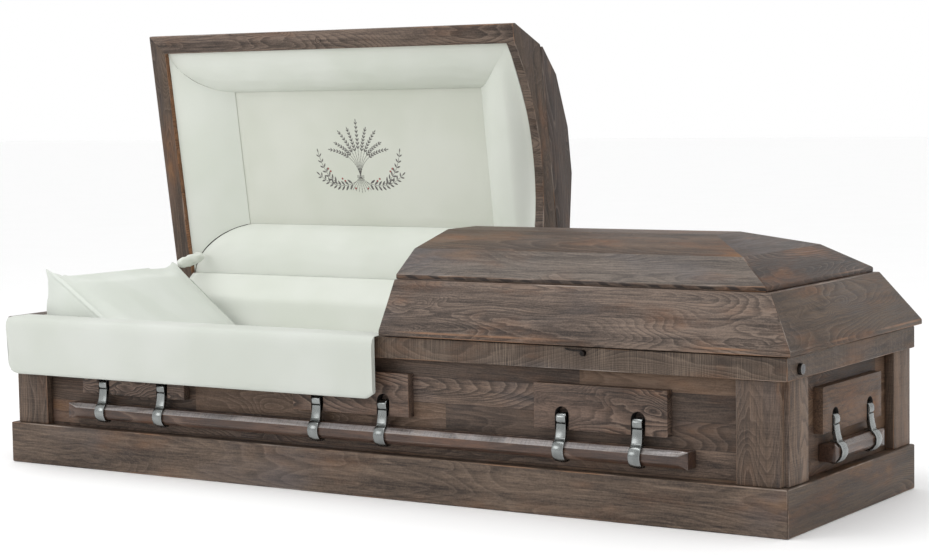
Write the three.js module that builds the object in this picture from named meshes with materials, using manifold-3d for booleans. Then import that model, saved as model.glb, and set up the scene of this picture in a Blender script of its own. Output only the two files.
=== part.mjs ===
// Half-couch wooden casket, millimetres, +Z up, +X towards the foot end, +Y towards the hinges.
// The origin is the centre of the underside. The head lid stands open, the foot lid is shut.
import * as THREE from 'three';
import { mergeVertices } from 'three/addons/utils/BufferGeometryUtils.js';
import Module from 'manifold-3d';

const wasm = await Module();
wasm.setup();

// Driving dimensions
const GAP = 0.3;

const PLINTH_HALF_LENGTH = 1065;
const PLINTH_HALF_WIDTH = 340;
const PLINTH_HEIGHT = 101;
const BOX_HALF_LENGTH = 1035;
const BOX_HALF_WIDTH = 310;
const PANEL_THICKNESS = 20;
const BOTTOM_THICKNESS = 20;

const POST_PROUD = 22;
const POST_FRONT_WIDTH = 98;
const POST_END_WIDTH = 94;
const POST_OVERHANG = 10;
const POST_END_SETBACK = 19;

const RAIL_BOTTOM = 320;
const RAIL_TOP = 369;

const LID_BOTTOM = 372;
const LID_OPEN_DEGREES = 81.6;
const LID_SPLIT = 77.5;
const LID_SPLIT_GAP = 3;
const LIP_OVERHANG = 13;
const LIP_HEIGHT = 11;
const TIER_ONE_TOP = 493;
const DECK_RISER_TOP = 504;
const TIER_TWO_TOP = 558;
const LID_TOP = 593;
const TIER_ONE_SIDE_INSET = 55;
const DECK_SIDE_INSET = 62;
const TIER_TWO_SIDE_INSET = 140;
const TOP_SIDE_INSET = 280;
const TIER_ONE_END_INSET = 60;
const DECK_END_INSET = 72;
const TIER_TWO_END_INSET = 163;
const TOP_END_INSET = 293;
const LID_RAIL_WIDTH = 48;
const LID_RAIL_THICKNESS = 18;
const LID_WALL_FOOT = 27;
const CAVITY_SIDE_INSET = 78;
const CAVITY_END_INSET = 89;
const DECK_WALL = 17;
const DECK_INSET = 8;
const LID_END_BOARD = 25;
const ARCH_RISE = 78;

const HINGE_OFFSET = 17.5;
const HINGE_BARREL_RADIUS = 3.6;
const HINGE_LEAF_INNER = 305;
const HINGE_END_MARGIN = 60;

const SIDE_BLOCK_LENGTH = 322;
const END_BLOCK_LENGTH = 311;
const BLOCK_BOTTOM = 188;
const BLOCK_TOP = 286;
const BLOCK_SPACING = 648;
const BLOCK_ROW_OFFSET = -18;
const ARM_HALF_SPACING = 92;
const SLOT_WIDTH = 34;
const SLOT_ARCH_CENTRE = 221;

const PIVOT_HEIGHT = 213.5;
const PIVOT_DEPTH = 5;
const PIN_RADIUS = 3;
const PIN_HOLE_RADIUS = 4;
const PIN_REACH = 4;
const KNUCKLE_RADIUS = 11;
const STRAP_WIDTH = 23;
const CLASP_WIDTH = 28;
const CLASP_THICKNESS = 4.8;
const CLASP_HALF_ANGLE = 105;

const BAR_FLATS = 38;
const BAR_HEIGHT = 144.5;
const BAR_OUT = -2;
const SIDE_BAR_LENGTH = 1707;
const SIDE_BAR_OFFSET = -7.5;
const END_BAR_LENGTH = 264;
const BAR_CHAMFER_STOP = 24;
const BAR_END_CHAMFER = 1.5;

const FRONT_KNOB_RADIUS = 7;
const FOOT_KNOB_RADIUS = 12.5;
const KNOB_SIDES = 20;
const KNOB_PROUD = 8;
const KNOB_BEVEL = 1.5;
const FRONT_KNOB_X = 598;
const FRONT_KNOB_Z = 356.5;
const LEVER_THICKNESS = 3.2;
const FOOT_KNOB_Y = -280;
const FOOT_KNOB_Z = 340.5;

const LINING_THICKNESS = 8;
const LID_LINING_THICKNESS = 12;
const LID_LINING_EDGE = 14;
const LID_PANEL_HEIGHT = 472;
const LID_PANEL_SIDE = 182;
const LID_PANEL_END_MARGIN = 145;
const LID_PANEL_SPLIT_MARGIN = 148;
const LINING_RIDGE_HEIGHT = 418;
const LINING_RIDGE_MARGIN = 51;

const MATTRESS_TOP = 250;
const MATTRESS_CHAMFER = 25;
const MATTRESS_CLEARANCE = 5;
const PILLOW_FRONT = -268;
const PILLOW_BACK = 248;
const PILLOW_HEAD = -1000;
const PILLOW_FOOT = -612;
const PILLOW_TOP = 476;
const PILLOW_NOSE = 18;
const PILLOW_CREST_X = -955;
const PILLOW_CREST_WIDTH = 28;
const PILLOW_CREST_FALL = 160;
const PILLOW_CREST_DROP = 84;

const APRON_HEAD_END = -1040;
const APRON_SPLIT_END = 72;
const APRON_BOTTOM = 231;
const APRON_INNER = 357;
const APRON_OUTER = 372;
const APRON_ROUND = 5;

const SLEEVE_X = -990;
const SLEEVE_RADIUS = 13;
const SLEEVE_FROM_HINGE = 98;
const SLEEVE_LENGTH = 80;
const SLEEVE_INSET = 5;

// Materials
const finish = (color, roughness, metalness) => new THREE.MeshStandardMaterial({ color, roughness, metalness });
const STAINED_WOOD = finish(0x5f524a, 0.62, 0);
const DARK_WOOD = finish(0x3a2a25, 0.4, 0);
const PEWTER = finish(0x8a8b88, 0.38, 0.9);
const BRONZE = finish(0x3b322c, 0.45, 0.8);
const LINING_CLOTH = finish(0xe4e5dc, 0.9, 0);

const casket = new THREE.Group();

// Geometry helpers: a prism along each axis, a box, and boolean cuts and joins
function shapeOf(points) {
  return new THREE.Shape(points.map(([a, b]) => new THREE.Vector2(a, b)));
}

function prism(shape, from, to, curveSegments = 8) {
  const geometry = new THREE.ExtrudeGeometry(shape, { depth: to - from, bevelEnabled: false, curveSegments });
  return geometry.translate(0, 0, from);
}

const prismZ = (points, from, to) => prism(shapeOf(points), from, to);

const alongX = new THREE.Matrix4().makeBasis(
  new THREE.Vector3(0, 1, 0), new THREE.Vector3(0, 0, 1), new THREE.Vector3(1, 0, 0));
const alongY = new THREE.Matrix4().makeBasis(
  new THREE.Vector3(0, 0, 1), new THREE.Vector3(1, 0, 0), new THREE.Vector3(0, 1, 0));
const alongOut = new THREE.Matrix4().makeBasis(
  new THREE.Vector3(1, 0, 0), new THREE.Vector3(0, 0, 1), new THREE.Vector3(0, -1, 0));

// Points are (y, z) pairs for a prism along X, and (x, z) pairs for one along Y.
const prismX = (points, from, to) => prism(shapeOf(points), from, to).applyMatrix4(alongX);
const prismY = (points, from, to) => prism(shapeOf(points.map(([x, z]) => [z, x])), from, to).applyMatrix4(alongY);

function box(x0, x1, y0, y1, z0, z1) {
  const geometry = new THREE.BoxGeometry(x1 - x0, y1 - y0, z1 - z0);
  return geometry.translate((x0 + x1) / 2, (y0 + y1) / 2, (z0 + z1) / 2);
}

// A cylinder with its axis along X, centred at the given y and z.
function rodX(radius, x0, x1, y, z, sides) {
  const geometry = new THREE.CylinderGeometry(radius, radius, x1 - x0, sides);
  return geometry.rotateZ(-Math.PI / 2).translate((x0 + x1) / 2, y, z);
}

function solid(geometry) {
  const bare = geometry.clone();
  bare.deleteAttribute('normal');
  bare.deleteAttribute('uv');
  const merged = mergeVertices(bare, 1e-3);
  return new wasm.Manifold(new wasm.Mesh({
    numProp: 3,
    vertProperties: new Float32Array(merged.getAttribute('position').array),
    triVerts: new Uint32Array(merged.getIndex().array),
  }));
}

function surface(manifold) {
  const mesh = manifold.getMesh();
  const geometry = new THREE.BufferGeometry();
  geometry.setAttribute('position', new THREE.BufferAttribute(new Float32Array(mesh.vertProperties), 3));
  geometry.setIndex(new THREE.BufferAttribute(new Uint32Array(mesh.triVerts), 1));
  geometry.computeVertexNormals();
  return geometry;
}

const join = (...parts) => parts.map(solid).reduce((whole, part) => whole.add(part));
const overlapOf = (a, b) => solid(a).intersect(solid(b));

function place(parent, name, geometry, material) {
  const mesh = new THREE.Mesh(geometry, material);
  mesh.name = name;
  parent.add(mesh);
  return mesh;
}

// A mirrored outline: the points of one half, then the same points on the other side of the Z axis.
function mirrored(half) {
  return [...half, ...half.map(([a, b]) => [-a, b]).reverse()];
}

// Box: bottom board, side and end panels, mitred plinth, mitred top rails and corner posts
const inHalfLength = BOX_HALF_LENGTH - PANEL_THICKNESS;
const inHalfWidth = BOX_HALF_WIDTH - PANEL_THICKNESS;

function mitredFrame(names, halfLength, halfWidth, inLength, inWidth, z0, z1) {
  const side = [[-halfLength, -halfWidth], [halfLength, -halfWidth], [inLength, -inWidth], [-inLength, -inWidth]];
  const end = [[halfLength, -halfWidth + 2 * GAP], [halfLength, halfWidth - 2 * GAP],
    [inLength, inWidth - 2 * GAP], [inLength, -inWidth + 2 * GAP]];
  const turned = (points) => points.map(([x, y]) => [-x, -y]);
  place(casket, names.front, prismZ(side, z0, z1), STAINED_WOOD);
  place(casket, names.back, prismZ(turned(side), z0, z1), STAINED_WOOD);
  place(casket, names.foot, prismZ(end, z0, z1), STAINED_WOOD);
  place(casket, names.head, prismZ(turned(end), z0, z1), STAINED_WOOD);
}

// A front post has its end board set back behind its front board, and a back post's end board laps the corner.
function cornerPost(toFoot, toBack) {
  const faceY = BOX_HALF_WIDTH + POST_PROUD;
  const faceX = BOX_HALF_LENGTH + POST_PROUD;
  const outerX = BOX_HALF_LENGTH + POST_OVERHANG;
  const setbackY = toBack > 0 ? faceY : faceY - POST_END_SETBACK;
  const corner = toBack > 0 ? [[faceX, faceY]] : [[outerX, faceY], [outerX, setbackY], [faceX, setbackY]];
  const outline = [
    [outerX - POST_FRONT_WIDTH, faceY],
    ...corner,
    [faceX, setbackY - POST_END_WIDTH],
    [BOX_HALF_LENGTH + GAP, setbackY - POST_END_WIDTH],
    [BOX_HALF_LENGTH + GAP, BOX_HALF_WIDTH + GAP],
    [outerX - POST_FRONT_WIDTH, BOX_HALF_WIDTH + GAP],
  ];
  return prismZ(outline.map(([x, y]) => [x * toFoot, y * toBack]), PLINTH_HEIGHT + GAP, RAIL_BOTTOM - GAP);
}

place(casket, 'bottom_board', box(-inHalfLength + GAP, inHalfLength - GAP, -inHalfWidth + GAP, inHalfWidth - GAP,
  0, BOTTOM_THICKNESS), STAINED_WOOD);
place(casket, 'side_panel_front', box(-BOX_HALF_LENGTH, BOX_HALF_LENGTH, -BOX_HALF_WIDTH, -inHalfWidth,
  0, RAIL_BOTTOM - GAP), STAINED_WOOD);
place(casket, 'side_panel_back', box(-BOX_HALF_LENGTH, BOX_HALF_LENGTH, inHalfWidth, BOX_HALF_WIDTH,
  0, RAIL_BOTTOM - GAP), STAINED_WOOD);
place(casket, 'end_panel_foot', box(inHalfLength, BOX_HALF_LENGTH, -inHalfWidth + GAP, inHalfWidth - GAP,
  0, RAIL_BOTTOM - GAP), STAINED_WOOD);
place(casket, 'end_panel_head', box(-BOX_HALF_LENGTH, -inHalfLength, -inHalfWidth + GAP, inHalfWidth - GAP,
  0, RAIL_BOTTOM - GAP), STAINED_WOOD);
mitredFrame({ front: 'plinth_front', back: 'plinth_back', foot: 'plinth_foot', head: 'plinth_head' },
  PLINTH_HALF_LENGTH, PLINTH_HALF_WIDTH, BOX_HALF_LENGTH + GAP, BOX_HALF_WIDTH + GAP, 0, PLINTH_HEIGHT);
mitredFrame({ front: 'top_rail_front', back: 'top_rail_back', foot: 'top_rail_foot', head: 'top_rail_head' },
  PLINTH_HALF_LENGTH, PLINTH_HALF_WIDTH, inHalfLength, inHalfWidth, RAIL_BOTTOM, RAIL_TOP);
for (const [end, toFoot] of [['head', -1], ['foot', 1]]) {
  for (const [side, toBack] of [['front', -1], ['back', 1]]) {
    place(casket, `corner_post_${side}_${end}`, cornerPost(toFoot, toBack), STAINED_WOOD);
  }
}

// Lock knob on the front rail and the key cap on the foot rail
function knob(along, out, z, radius) {
  const geometry = new THREE.CylinderGeometry(radius, radius - KNOB_BEVEL, KNOB_PROUD, KNOB_SIDES);
  return geometry.translate(along, -out - KNOB_PROUD / 2 - GAP, z);
}

// The short lever of the front lock lies flat on the rail, to the head side of its knob, with an upturned tip.
function lever(along, out, z) {
  const outline = [[-3, 3], [-22, 3.7], [-34, 4.1], [-41, 5.4], [-44, 9], [-41.6, 9.8], [-38, 7.8], [-22, 6.6],
    [-3, 6.4]].map(([x, up]) => [along + x, z + up]);
  return prism(shapeOf(outline), out + GAP, out + LEVER_THICKNESS).applyMatrix4(alongOut);
}

const footEndFrame = new THREE.Group();
footEndFrame.rotation.z = Math.PI / 2;
casket.add(footEndFrame);
const frontKnob = knob(FRONT_KNOB_X, PLINTH_HALF_WIDTH, FRONT_KNOB_Z, FRONT_KNOB_RADIUS);
const frontLever = lever(FRONT_KNOB_X, PLINTH_HALF_WIDTH, FRONT_KNOB_Z);
place(casket, 'lock_knob_front', surface(join(frontKnob, frontLever)), BRONZE);
place(footEndFrame, 'lock_knob_foot',
  knob(FOOT_KNOB_Y, PLINTH_HALF_LENGTH, FOOT_KNOB_Z, FOOT_KNOB_RADIUS), BRONZE);

// Swing-bar handles, drawn for a wall that faces -Y with its block faces at the given distance from the centre
const barRadius = BAR_FLATS / 2 / Math.cos(Math.PI / 8);

function handleBlock(centre, length, wall, face) {
  const outline = new THREE.Shape();
  outline.moveTo(centre - length / 2, BLOCK_BOTTOM);
  for (const arm of [centre - ARM_HALF_SPACING, centre + ARM_HALF_SPACING]) {
    outline.lineTo(arm - SLOT_WIDTH / 2, BLOCK_BOTTOM);
    outline.lineTo(arm - SLOT_WIDTH / 2, SLOT_ARCH_CENTRE);
    outline.absarc(arm, SLOT_ARCH_CENTRE, SLOT_WIDTH / 2, Math.PI, 0, true);
    outline.lineTo(arm + SLOT_WIDTH / 2, BLOCK_BOTTOM);
  }
  outline.lineTo(centre + length / 2, BLOCK_BOTTOM);
  outline.lineTo(centre + length / 2, BLOCK_TOP);
  outline.lineTo(centre - length / 2, BLOCK_TOP);
  const board = solid(prism(outline, wall + GAP, face).applyMatrix4(alongOut));
  const holeReach = SLOT_WIDTH / 2 + PIN_REACH + 1;
  return [-ARM_HALF_SPACING, ARM_HALF_SPACING].reduce((block, offset) => {
    const arm = centre + offset;
    const hole = rodX(PIN_HOLE_RADIUS, arm - holeReach, arm + holeReach, PIVOT_DEPTH - face, PIVOT_HEIGHT, 6);
    return block.subtract(solid(hole));
  }, board);
}

// One arm: a knuckle on its pin, a strap that swells outwards, and a clasp round the front of the bar.
function handleArm(arm, face) {
  const at = (out, z) => [-face - out, z];
  const pinReach = SLOT_WIDTH / 2 + PIN_REACH;
  const pivotY = PIVOT_DEPTH - face;
  const knuckle = rodX(KNUCKLE_RADIUS, arm - STRAP_WIDTH / 2, arm + STRAP_WIDTH / 2, pivotY, PIVOT_HEIGHT, 10);
  const pin = rodX(PIN_RADIUS, arm - pinReach, arm + pinReach, pivotY, PIVOT_HEIGHT, 6);
  const strap = prismX([
    at(5, 212), at(4.2, 204), at(4.4, 194), at(6, 182), at(9, 174), at(13, 166.5),
    at(4.5, 165), at(-0.5, 173), at(-3.2, 183), at(-4.2, 194), at(-6, 203), at(-10, 211),
  ], arm - STRAP_WIDTH / 2, arm + STRAP_WIDTH / 2);
  const [claspY, claspZ] = at(BAR_OUT, BAR_HEIGHT);
  const claspInner = barRadius + GAP;
  const sweep = THREE.MathUtils.degToRad(CLASP_HALF_ANGLE);
  const ring = new THREE.Shape();
  ring.absarc(claspY, claspZ, claspInner + CLASP_THICKNESS, Math.PI - sweep, Math.PI + sweep, false);
  ring.absarc(claspY, claspZ, claspInner, Math.PI + sweep, Math.PI - sweep, true);
  const clasp = prism(ring, arm - CLASP_WIDTH / 2, arm + CLASP_WIDTH / 2, 9).applyMatrix4(alongX);
  return join(knuckle, pin, strap, clasp);
}

// The bar is square with a long chamfer along each edge, and the chamfers stop short of its square ends.
function handleBar(centre, length, face) {
  const half = BAR_FLATS / 2;
  const longChamfer = half * (2 - Math.SQRT2);
  const section = (along, chamfer) => {
    const flat = half - chamfer;
    return [[half, -flat], [half, flat], [flat, half], [-flat, half], [-half, flat], [-half, -flat], [-flat, -half],
      [flat, -half]].map(([out, up]) => [centre + along, -face - BAR_OUT - out, BAR_HEIGHT + up]);
  };
  const end = length / 2;
  const stop = end - BAR_CHAMFER_STOP;
  const rings = [section(-end, BAR_END_CHAMFER), section(-stop, longChamfer), section(stop, longChamfer),
    section(end, BAR_END_CHAMFER)];
  const corners = 8;
  const faces = [];
  for (let ring = 0; ring < rings.length - 1; ring += 1) {
    for (let n = 0; n < corners; n += 1) {
      const a = ring * corners + n;
      const b = ring * corners + ((n + 1) % corners);
      faces.push(a, a + corners, b, b, a + corners, b + corners);
    }
  }
  const last = (rings.length - 1) * corners;
  for (let n = 1; n < corners - 1; n += 1) {
    faces.push(0, n, n + 1, last, last + n + 1, last + n);
  }
  const geometry = new THREE.BufferGeometry();
  geometry.setAttribute('position', new THREE.Float32BufferAttribute(rings.flat(2), 3));
  geometry.setIndex(faces);
  geometry.computeVertexNormals();
  return geometry;
}

function handleSet(wallName, turn, boxHalf, barCentre, barLength, blockCentres, blockLength) {
  const frame = new THREE.Group();
  frame.rotation.z = turn;
  casket.add(frame);
  const face = boxHalf + POST_PROUD;
  const several = blockCentres.length > 1;
  place(frame, `handle_bar_${wallName}`, handleBar(barCentre, barLength, face), DARK_WOOD);
  let armNumber = 0;
  blockCentres.forEach((centre, index) => {
    const blockName = several ? `handle_block_${wallName}_${index + 1}` : `handle_block_${wallName}`;
    place(frame, blockName, surface(handleBlock(centre, blockLength, boxHalf, face)), STAINED_WOOD);
    for (const offset of [-ARM_HALF_SPACING, ARM_HALF_SPACING]) {
      armNumber += 1;
      place(frame, `handle_arm_${wallName}_${armNumber}`, surface(handleArm(centre + offset, face)), PEWTER);
    }
  });
}

const sideBlocks = [-1, 0, 1].map((step) => BLOCK_ROW_OFFSET + step * BLOCK_SPACING);
const backBlocks = sideBlocks.map((x) => -x).reverse();
// The end handles sit midway between the end boards of the front and back posts.
const endOffset = POST_END_SETBACK / 2;
handleSet('front', 0, BOX_HALF_WIDTH, SIDE_BAR_OFFSET, SIDE_BAR_LENGTH, sideBlocks, SIDE_BLOCK_LENGTH);
handleSet('back', Math.PI, BOX_HALF_WIDTH, -SIDE_BAR_OFFSET, SIDE_BAR_LENGTH, backBlocks, SIDE_BLOCK_LENGTH);
handleSet('foot', Math.PI / 2, BOX_HALF_LENGTH, endOffset, END_BAR_LENGTH, [endOffset], END_BLOCK_LENGTH);
handleSet('head', -Math.PI / 2, BOX_HALF_LENGTH, -endOffset, END_BAR_LENGTH, [-endOffset], END_BLOCK_LENGTH);

// Lids: each is a lower frame with a railed rim and an arched board at the split, a hipped deck and a lining.
// Every piece is where two prisms meet, one with the cross section and one with the profile along the lid.
const lipHalfWidth = PLINTH_HALF_WIDTH + LIP_OVERHANG;
const railInner = lipHalfWidth - LID_RAIL_WIDTH;
const railTop = LID_BOTTOM + LID_RAIL_THICKNESS;
const wallFoot = LID_RAIL_WIDTH - LID_WALL_FOOT;

function hipped(side, profile, span) {
  const reach = PLINTH_HALF_LENGTH + 2 * LIP_OVERHANG;
  return overlapOf(prismX(mirrored(side), -reach, reach), prismY(profile, -span, span));
}

function buildLid(name, parent, toHip, split) {
  const hip = (inset) => toHip * (PLINTH_HALF_LENGTH - inset);
  const side = (inset) => inset - PLINTH_HALF_WIDTH;
  const boardInner = split + toHip * LID_END_BOARD;
  const railInnerInset = LID_RAIL_WIDTH - LIP_OVERHANG;
  const deckBottom = TIER_ONE_TOP + GAP;
  const span = 2 * PLINTH_HALF_WIDTH;

  const frameOuter = hipped(
    [[side(-LIP_OVERHANG), LID_BOTTOM], [side(-LIP_OVERHANG), LID_BOTTOM + LIP_HEIGHT],
      [side(TIER_ONE_SIDE_INSET), TIER_ONE_TOP]],
    [[split, LID_BOTTOM], [hip(-LIP_OVERHANG), LID_BOTTOM], [hip(-LIP_OVERHANG), LID_BOTTOM + LIP_HEIGHT],
      [hip(TIER_ONE_END_INSET), TIER_ONE_TOP], [split, TIER_ONE_TOP]], span);
  const frameCavity = hipped(
    [[side(railInnerInset), LID_BOTTOM - 1], [side(railInnerInset), railTop],
      [side(railInnerInset - wallFoot), railTop], [side(CAVITY_SIDE_INSET), TIER_ONE_TOP + 1]],
    [[boardInner, LID_BOTTOM - 1], [hip(railInnerInset), LID_BOTTOM - 1], [hip(railInnerInset), railTop],
      [hip(railInnerInset - wallFoot), railTop], [hip(CAVITY_END_INSET), TIER_ONE_TOP + 1],
      [boardInner, TIER_ONE_TOP + 1]], span);
  const archRadius = (railInner ** 2 + ARCH_RISE ** 2) / (2 * ARCH_RISE);
  const archSweep = Math.asin(railInner / archRadius);
  const arch = new THREE.Shape();
  arch.moveTo(-railInner, LID_BOTTOM - 1);
  arch.lineTo(railInner, LID_BOTTOM - 1);
  arch.absarc(0, LID_BOTTOM + ARCH_RISE - archRadius, archRadius,
    Math.PI / 2 - archSweep, Math.PI / 2 + archSweep, false);
  const archCut = prism(arch, Math.min(split, boardInner) - 1, Math.max(split, boardInner) + 1, 20);
  const frame = frameOuter.subtract(frameCavity).subtract(solid(archCut.applyMatrix4(alongX)));

  const deckOuter = hipped(
    [[side(DECK_SIDE_INSET), deckBottom], [side(DECK_SIDE_INSET), DECK_RISER_TOP],
      [side(TIER_TWO_SIDE_INSET), TIER_TWO_TOP], [side(TOP_SIDE_INSET), LID_TOP]],
    [[split, deckBottom], [hip(DECK_END_INSET), deckBottom], [hip(DECK_END_INSET), DECK_RISER_TOP],
      [hip(TIER_TWO_END_INSET), TIER_TWO_TOP], [hip(TOP_END_INSET), LID_TOP], [split, LID_TOP]], span);
  const deckCavity = hipped(
    [[side(CAVITY_SIDE_INSET), deckBottom - 1], [side(CAVITY_SIDE_INSET), deckBottom],
      [side(TIER_TWO_SIDE_INSET + DECK_INSET), TIER_TWO_TOP - DECK_WALL],
      [side(TOP_SIDE_INSET + DECK_INSET / 2), LID_TOP - DECK_WALL]],
    [[boardInner, deckBottom - 1], [hip(CAVITY_END_INSET), deckBottom - 1], [hip(CAVITY_END_INSET), deckBottom],
      [hip(TIER_TWO_END_INSET + DECK_INSET), TIER_TWO_TOP - DECK_WALL],
      [hip(TOP_END_INSET + DECK_INSET / 2), LID_TOP - DECK_WALL], [boardInner, LID_TOP - DECK_WALL]], span);

  const edgeInset = railInnerInset + 1;
  const visibleInset = edgeInset + LID_LINING_EDGE;
  const hemZ = LID_BOTTOM + 2;
  const panelBack = LID_PANEL_HEIGHT + LID_LINING_THICKNESS;
  const splitEdge = boardInner + toHip;
  const liningOuter = hipped(
    [[side(edgeInset), hemZ], [side(edgeInset), hemZ + LID_LINING_THICKNESS],
      [-LID_PANEL_SIDE - LID_LINING_THICKNESS, panelBack]],
    [[splitEdge, hemZ], [hip(edgeInset), hemZ], [hip(edgeInset), hemZ + LID_LINING_THICKNESS],
      [hip(railInnerInset + LID_PANEL_END_MARGIN - LINING_THICKNESS), panelBack], [splitEdge, panelBack]], span);
  const liningHollow = hipped(
    [[side(visibleInset), hemZ - 1], [-LID_PANEL_SIDE, LID_PANEL_HEIGHT]],
    [[hip(visibleInset), hemZ - 1], [hip(railInnerInset + LID_PANEL_END_MARGIN), LID_PANEL_HEIGHT],
      [boardInner + toHip * LID_PANEL_SPLIT_MARGIN, LID_PANEL_HEIGHT],
      [boardInner + toHip * LINING_RIDGE_MARGIN, LINING_RIDGE_HEIGHT],
      [boardInner, LID_BOTTOM + ARCH_RISE], [boardInner, hemZ - 1]], span);

  const hinged = (piece) => surface(piece).translate(0, -hingeY, -LID_BOTTOM);
  place(parent, `${name}_lid_frame`, hinged(frame), STAINED_WOOD);
  place(parent, `${name}_lid_deck`, hinged(deckOuter.subtract(deckCavity)), STAINED_WOOD);
  place(parent, `${name}_lid_lining`, hinged(liningOuter.subtract(liningHollow)), LINING_CLOTH);
}

// Each lid group turns about its hinge line, so its pieces are drawn shut and shifted to that line.
const hingeY = PLINTH_HALF_WIDTH + HINGE_OFFSET;

function lidGroup(openDegrees) {
  const group = new THREE.Group();
  group.position.set(0, hingeY, LID_BOTTOM);
  group.rotation.x = -THREE.MathUtils.degToRad(openDegrees);
  casket.add(group);
  return group;
}

function hinge(x0, x1) {
  const leaf = box(x0, x1, HINGE_LEAF_INNER, hingeY, RAIL_TOP + GAP, LID_BOTTOM - 2 * GAP);
  return surface(join(leaf, rodX(HINGE_BARREL_RADIUS, x0, x1, hingeY, LID_BOTTOM, 12)));
}

const headSplit = LID_SPLIT - LID_SPLIT_GAP / 2;
const footSplit = LID_SPLIT + LID_SPLIT_GAP / 2;
const headLid = lidGroup(LID_OPEN_DEGREES);
buildLid('head', headLid, -1, headSplit);
buildLid('foot', lidGroup(0), 1, footSplit);
place(casket, 'head_hinge', hinge(HINGE_END_MARGIN - PLINTH_HALF_LENGTH, headSplit - HINGE_END_MARGIN), BRONZE);
place(casket, 'foot_hinge', hinge(footSplit + HINGE_END_MARGIN, PLINTH_HALF_LENGTH - HINGE_END_MARGIN), BRONZE);

// The cloth sleeve of the lid stay stands out of the head lid's lining near its hinge corner.
const sleeve = new THREE.CylinderGeometry(SLEEVE_RADIUS, SLEEVE_RADIUS, SLEEVE_LENGTH, 10).rotateX(Math.PI / 2);
sleeve.translate(SLEEVE_X, -SLEEVE_FROM_HINGE, SLEEVE_INSET - SLEEVE_LENGTH / 2);
place(headLid, 'lid_stay_sleeve', sleeve, LINING_CLOTH);

// Soft goods in the box: wall lining, mattress, wedge pillow and the apron folded out over the front rail
const liningHalfLength = inHalfLength - GAP;
const liningHalfWidth = inHalfWidth - GAP;

function rectangle(halfLength, halfWidth) {
  return [[-halfLength, -halfWidth], [halfLength, -halfWidth], [halfLength, halfWidth], [-halfLength, halfWidth]];
}

const wallRing = shapeOf(rectangle(liningHalfLength, liningHalfWidth));
wallRing.holes.push(shapeOf(rectangle(liningHalfLength - LINING_THICKNESS, liningHalfWidth - LINING_THICKNESS)));
place(casket, 'body_lining', prism(wallRing, BOTTOM_THICKNESS + GAP, RAIL_TOP - 1), LINING_CLOTH);

const bedHalfWidth = liningHalfWidth - LINING_THICKNESS - MATTRESS_CLEARANCE;
const bedHalfLength = liningHalfLength - LINING_THICKNESS - MATTRESS_CLEARANCE;
const bedSection = mirrored([[-bedHalfWidth, BOTTOM_THICKNESS + GAP], [-bedHalfWidth, MATTRESS_TOP - MATTRESS_CHAMFER],
  [-bedHalfWidth + MATTRESS_CHAMFER, MATTRESS_TOP]]);
place(casket, 'mattress', prismX(bedSection, -bedHalfLength, bedHalfLength), LINING_CLOTH);

const pillowBase = MATTRESS_TOP + 2 * GAP;
const pillowSection = [[PILLOW_HEAD, pillowBase], [PILLOW_FOOT, pillowBase], [PILLOW_FOOT, pillowBase + PILLOW_NOSE],
  [PILLOW_CREST_X + PILLOW_CREST_FALL, PILLOW_TOP - PILLOW_CREST_DROP], [PILLOW_CREST_X, PILLOW_TOP],
  [PILLOW_CREST_X - PILLOW_CREST_WIDTH, PILLOW_TOP]];
place(casket, 'pillow', prismY(pillowSection, PILLOW_FRONT, PILLOW_BACK), LINING_CLOTH);

const tongueTop = LID_BOTTOM - 2 * GAP;
const tongueBottom = RAIL_TOP + GAP;
const apronSection = [[-inHalfWidth, tongueTop], [-inHalfWidth, tongueBottom], [-APRON_INNER, tongueBottom],
  [-APRON_INNER, APRON_BOTTOM], [-APRON_OUTER + APRON_ROUND, APRON_BOTTOM - 2],
  [-APRON_OUTER, APRON_BOTTOM + APRON_ROUND], [-APRON_OUTER, tongueTop - APRON_ROUND],
  [-APRON_OUTER + APRON_ROUND, tongueTop]];
place(casket, 'apron', prismX(apronSection, APRON_HEAD_END, APRON_SPLIT_END), LINING_CLOTH);

export default casket;
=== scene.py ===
"""Looks of the half-couch casket: stained boards, pewter handle arms, cloth lining, pillow and apron."""

import math

import bmesh
import bpy
import numpy
from mathutils import Matrix, Vector, noise


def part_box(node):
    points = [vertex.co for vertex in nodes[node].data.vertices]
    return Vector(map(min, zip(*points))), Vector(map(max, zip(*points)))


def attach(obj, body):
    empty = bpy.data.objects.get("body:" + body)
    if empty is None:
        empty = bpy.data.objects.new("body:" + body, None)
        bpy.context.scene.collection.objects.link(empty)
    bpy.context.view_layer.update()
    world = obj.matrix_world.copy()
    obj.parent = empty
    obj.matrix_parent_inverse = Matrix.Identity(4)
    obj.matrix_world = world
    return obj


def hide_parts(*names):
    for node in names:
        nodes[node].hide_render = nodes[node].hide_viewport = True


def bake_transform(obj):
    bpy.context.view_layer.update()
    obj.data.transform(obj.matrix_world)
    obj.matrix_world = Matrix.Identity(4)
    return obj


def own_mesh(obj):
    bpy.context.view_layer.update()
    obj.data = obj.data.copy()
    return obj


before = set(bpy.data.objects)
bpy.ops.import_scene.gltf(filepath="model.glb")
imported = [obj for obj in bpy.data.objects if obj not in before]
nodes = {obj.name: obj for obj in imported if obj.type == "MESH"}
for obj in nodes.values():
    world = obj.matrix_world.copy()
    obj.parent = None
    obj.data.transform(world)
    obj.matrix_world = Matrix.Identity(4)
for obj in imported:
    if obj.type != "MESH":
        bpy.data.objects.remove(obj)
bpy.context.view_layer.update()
scene = bpy.context.scene
scene.view_settings.view_transform = "Standard"

# The open head lid stands at this angle about the hinge line.
HINGE = Vector((0.0, 0.3575, 0.372))
OPEN_ANGLE = math.radians(81.6)
OPENED = Matrix.Translation(HINGE) @ Matrix.Rotation(-OPEN_ANGLE, 4, "X") @ Matrix.Translation(-HINGE)

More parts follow.
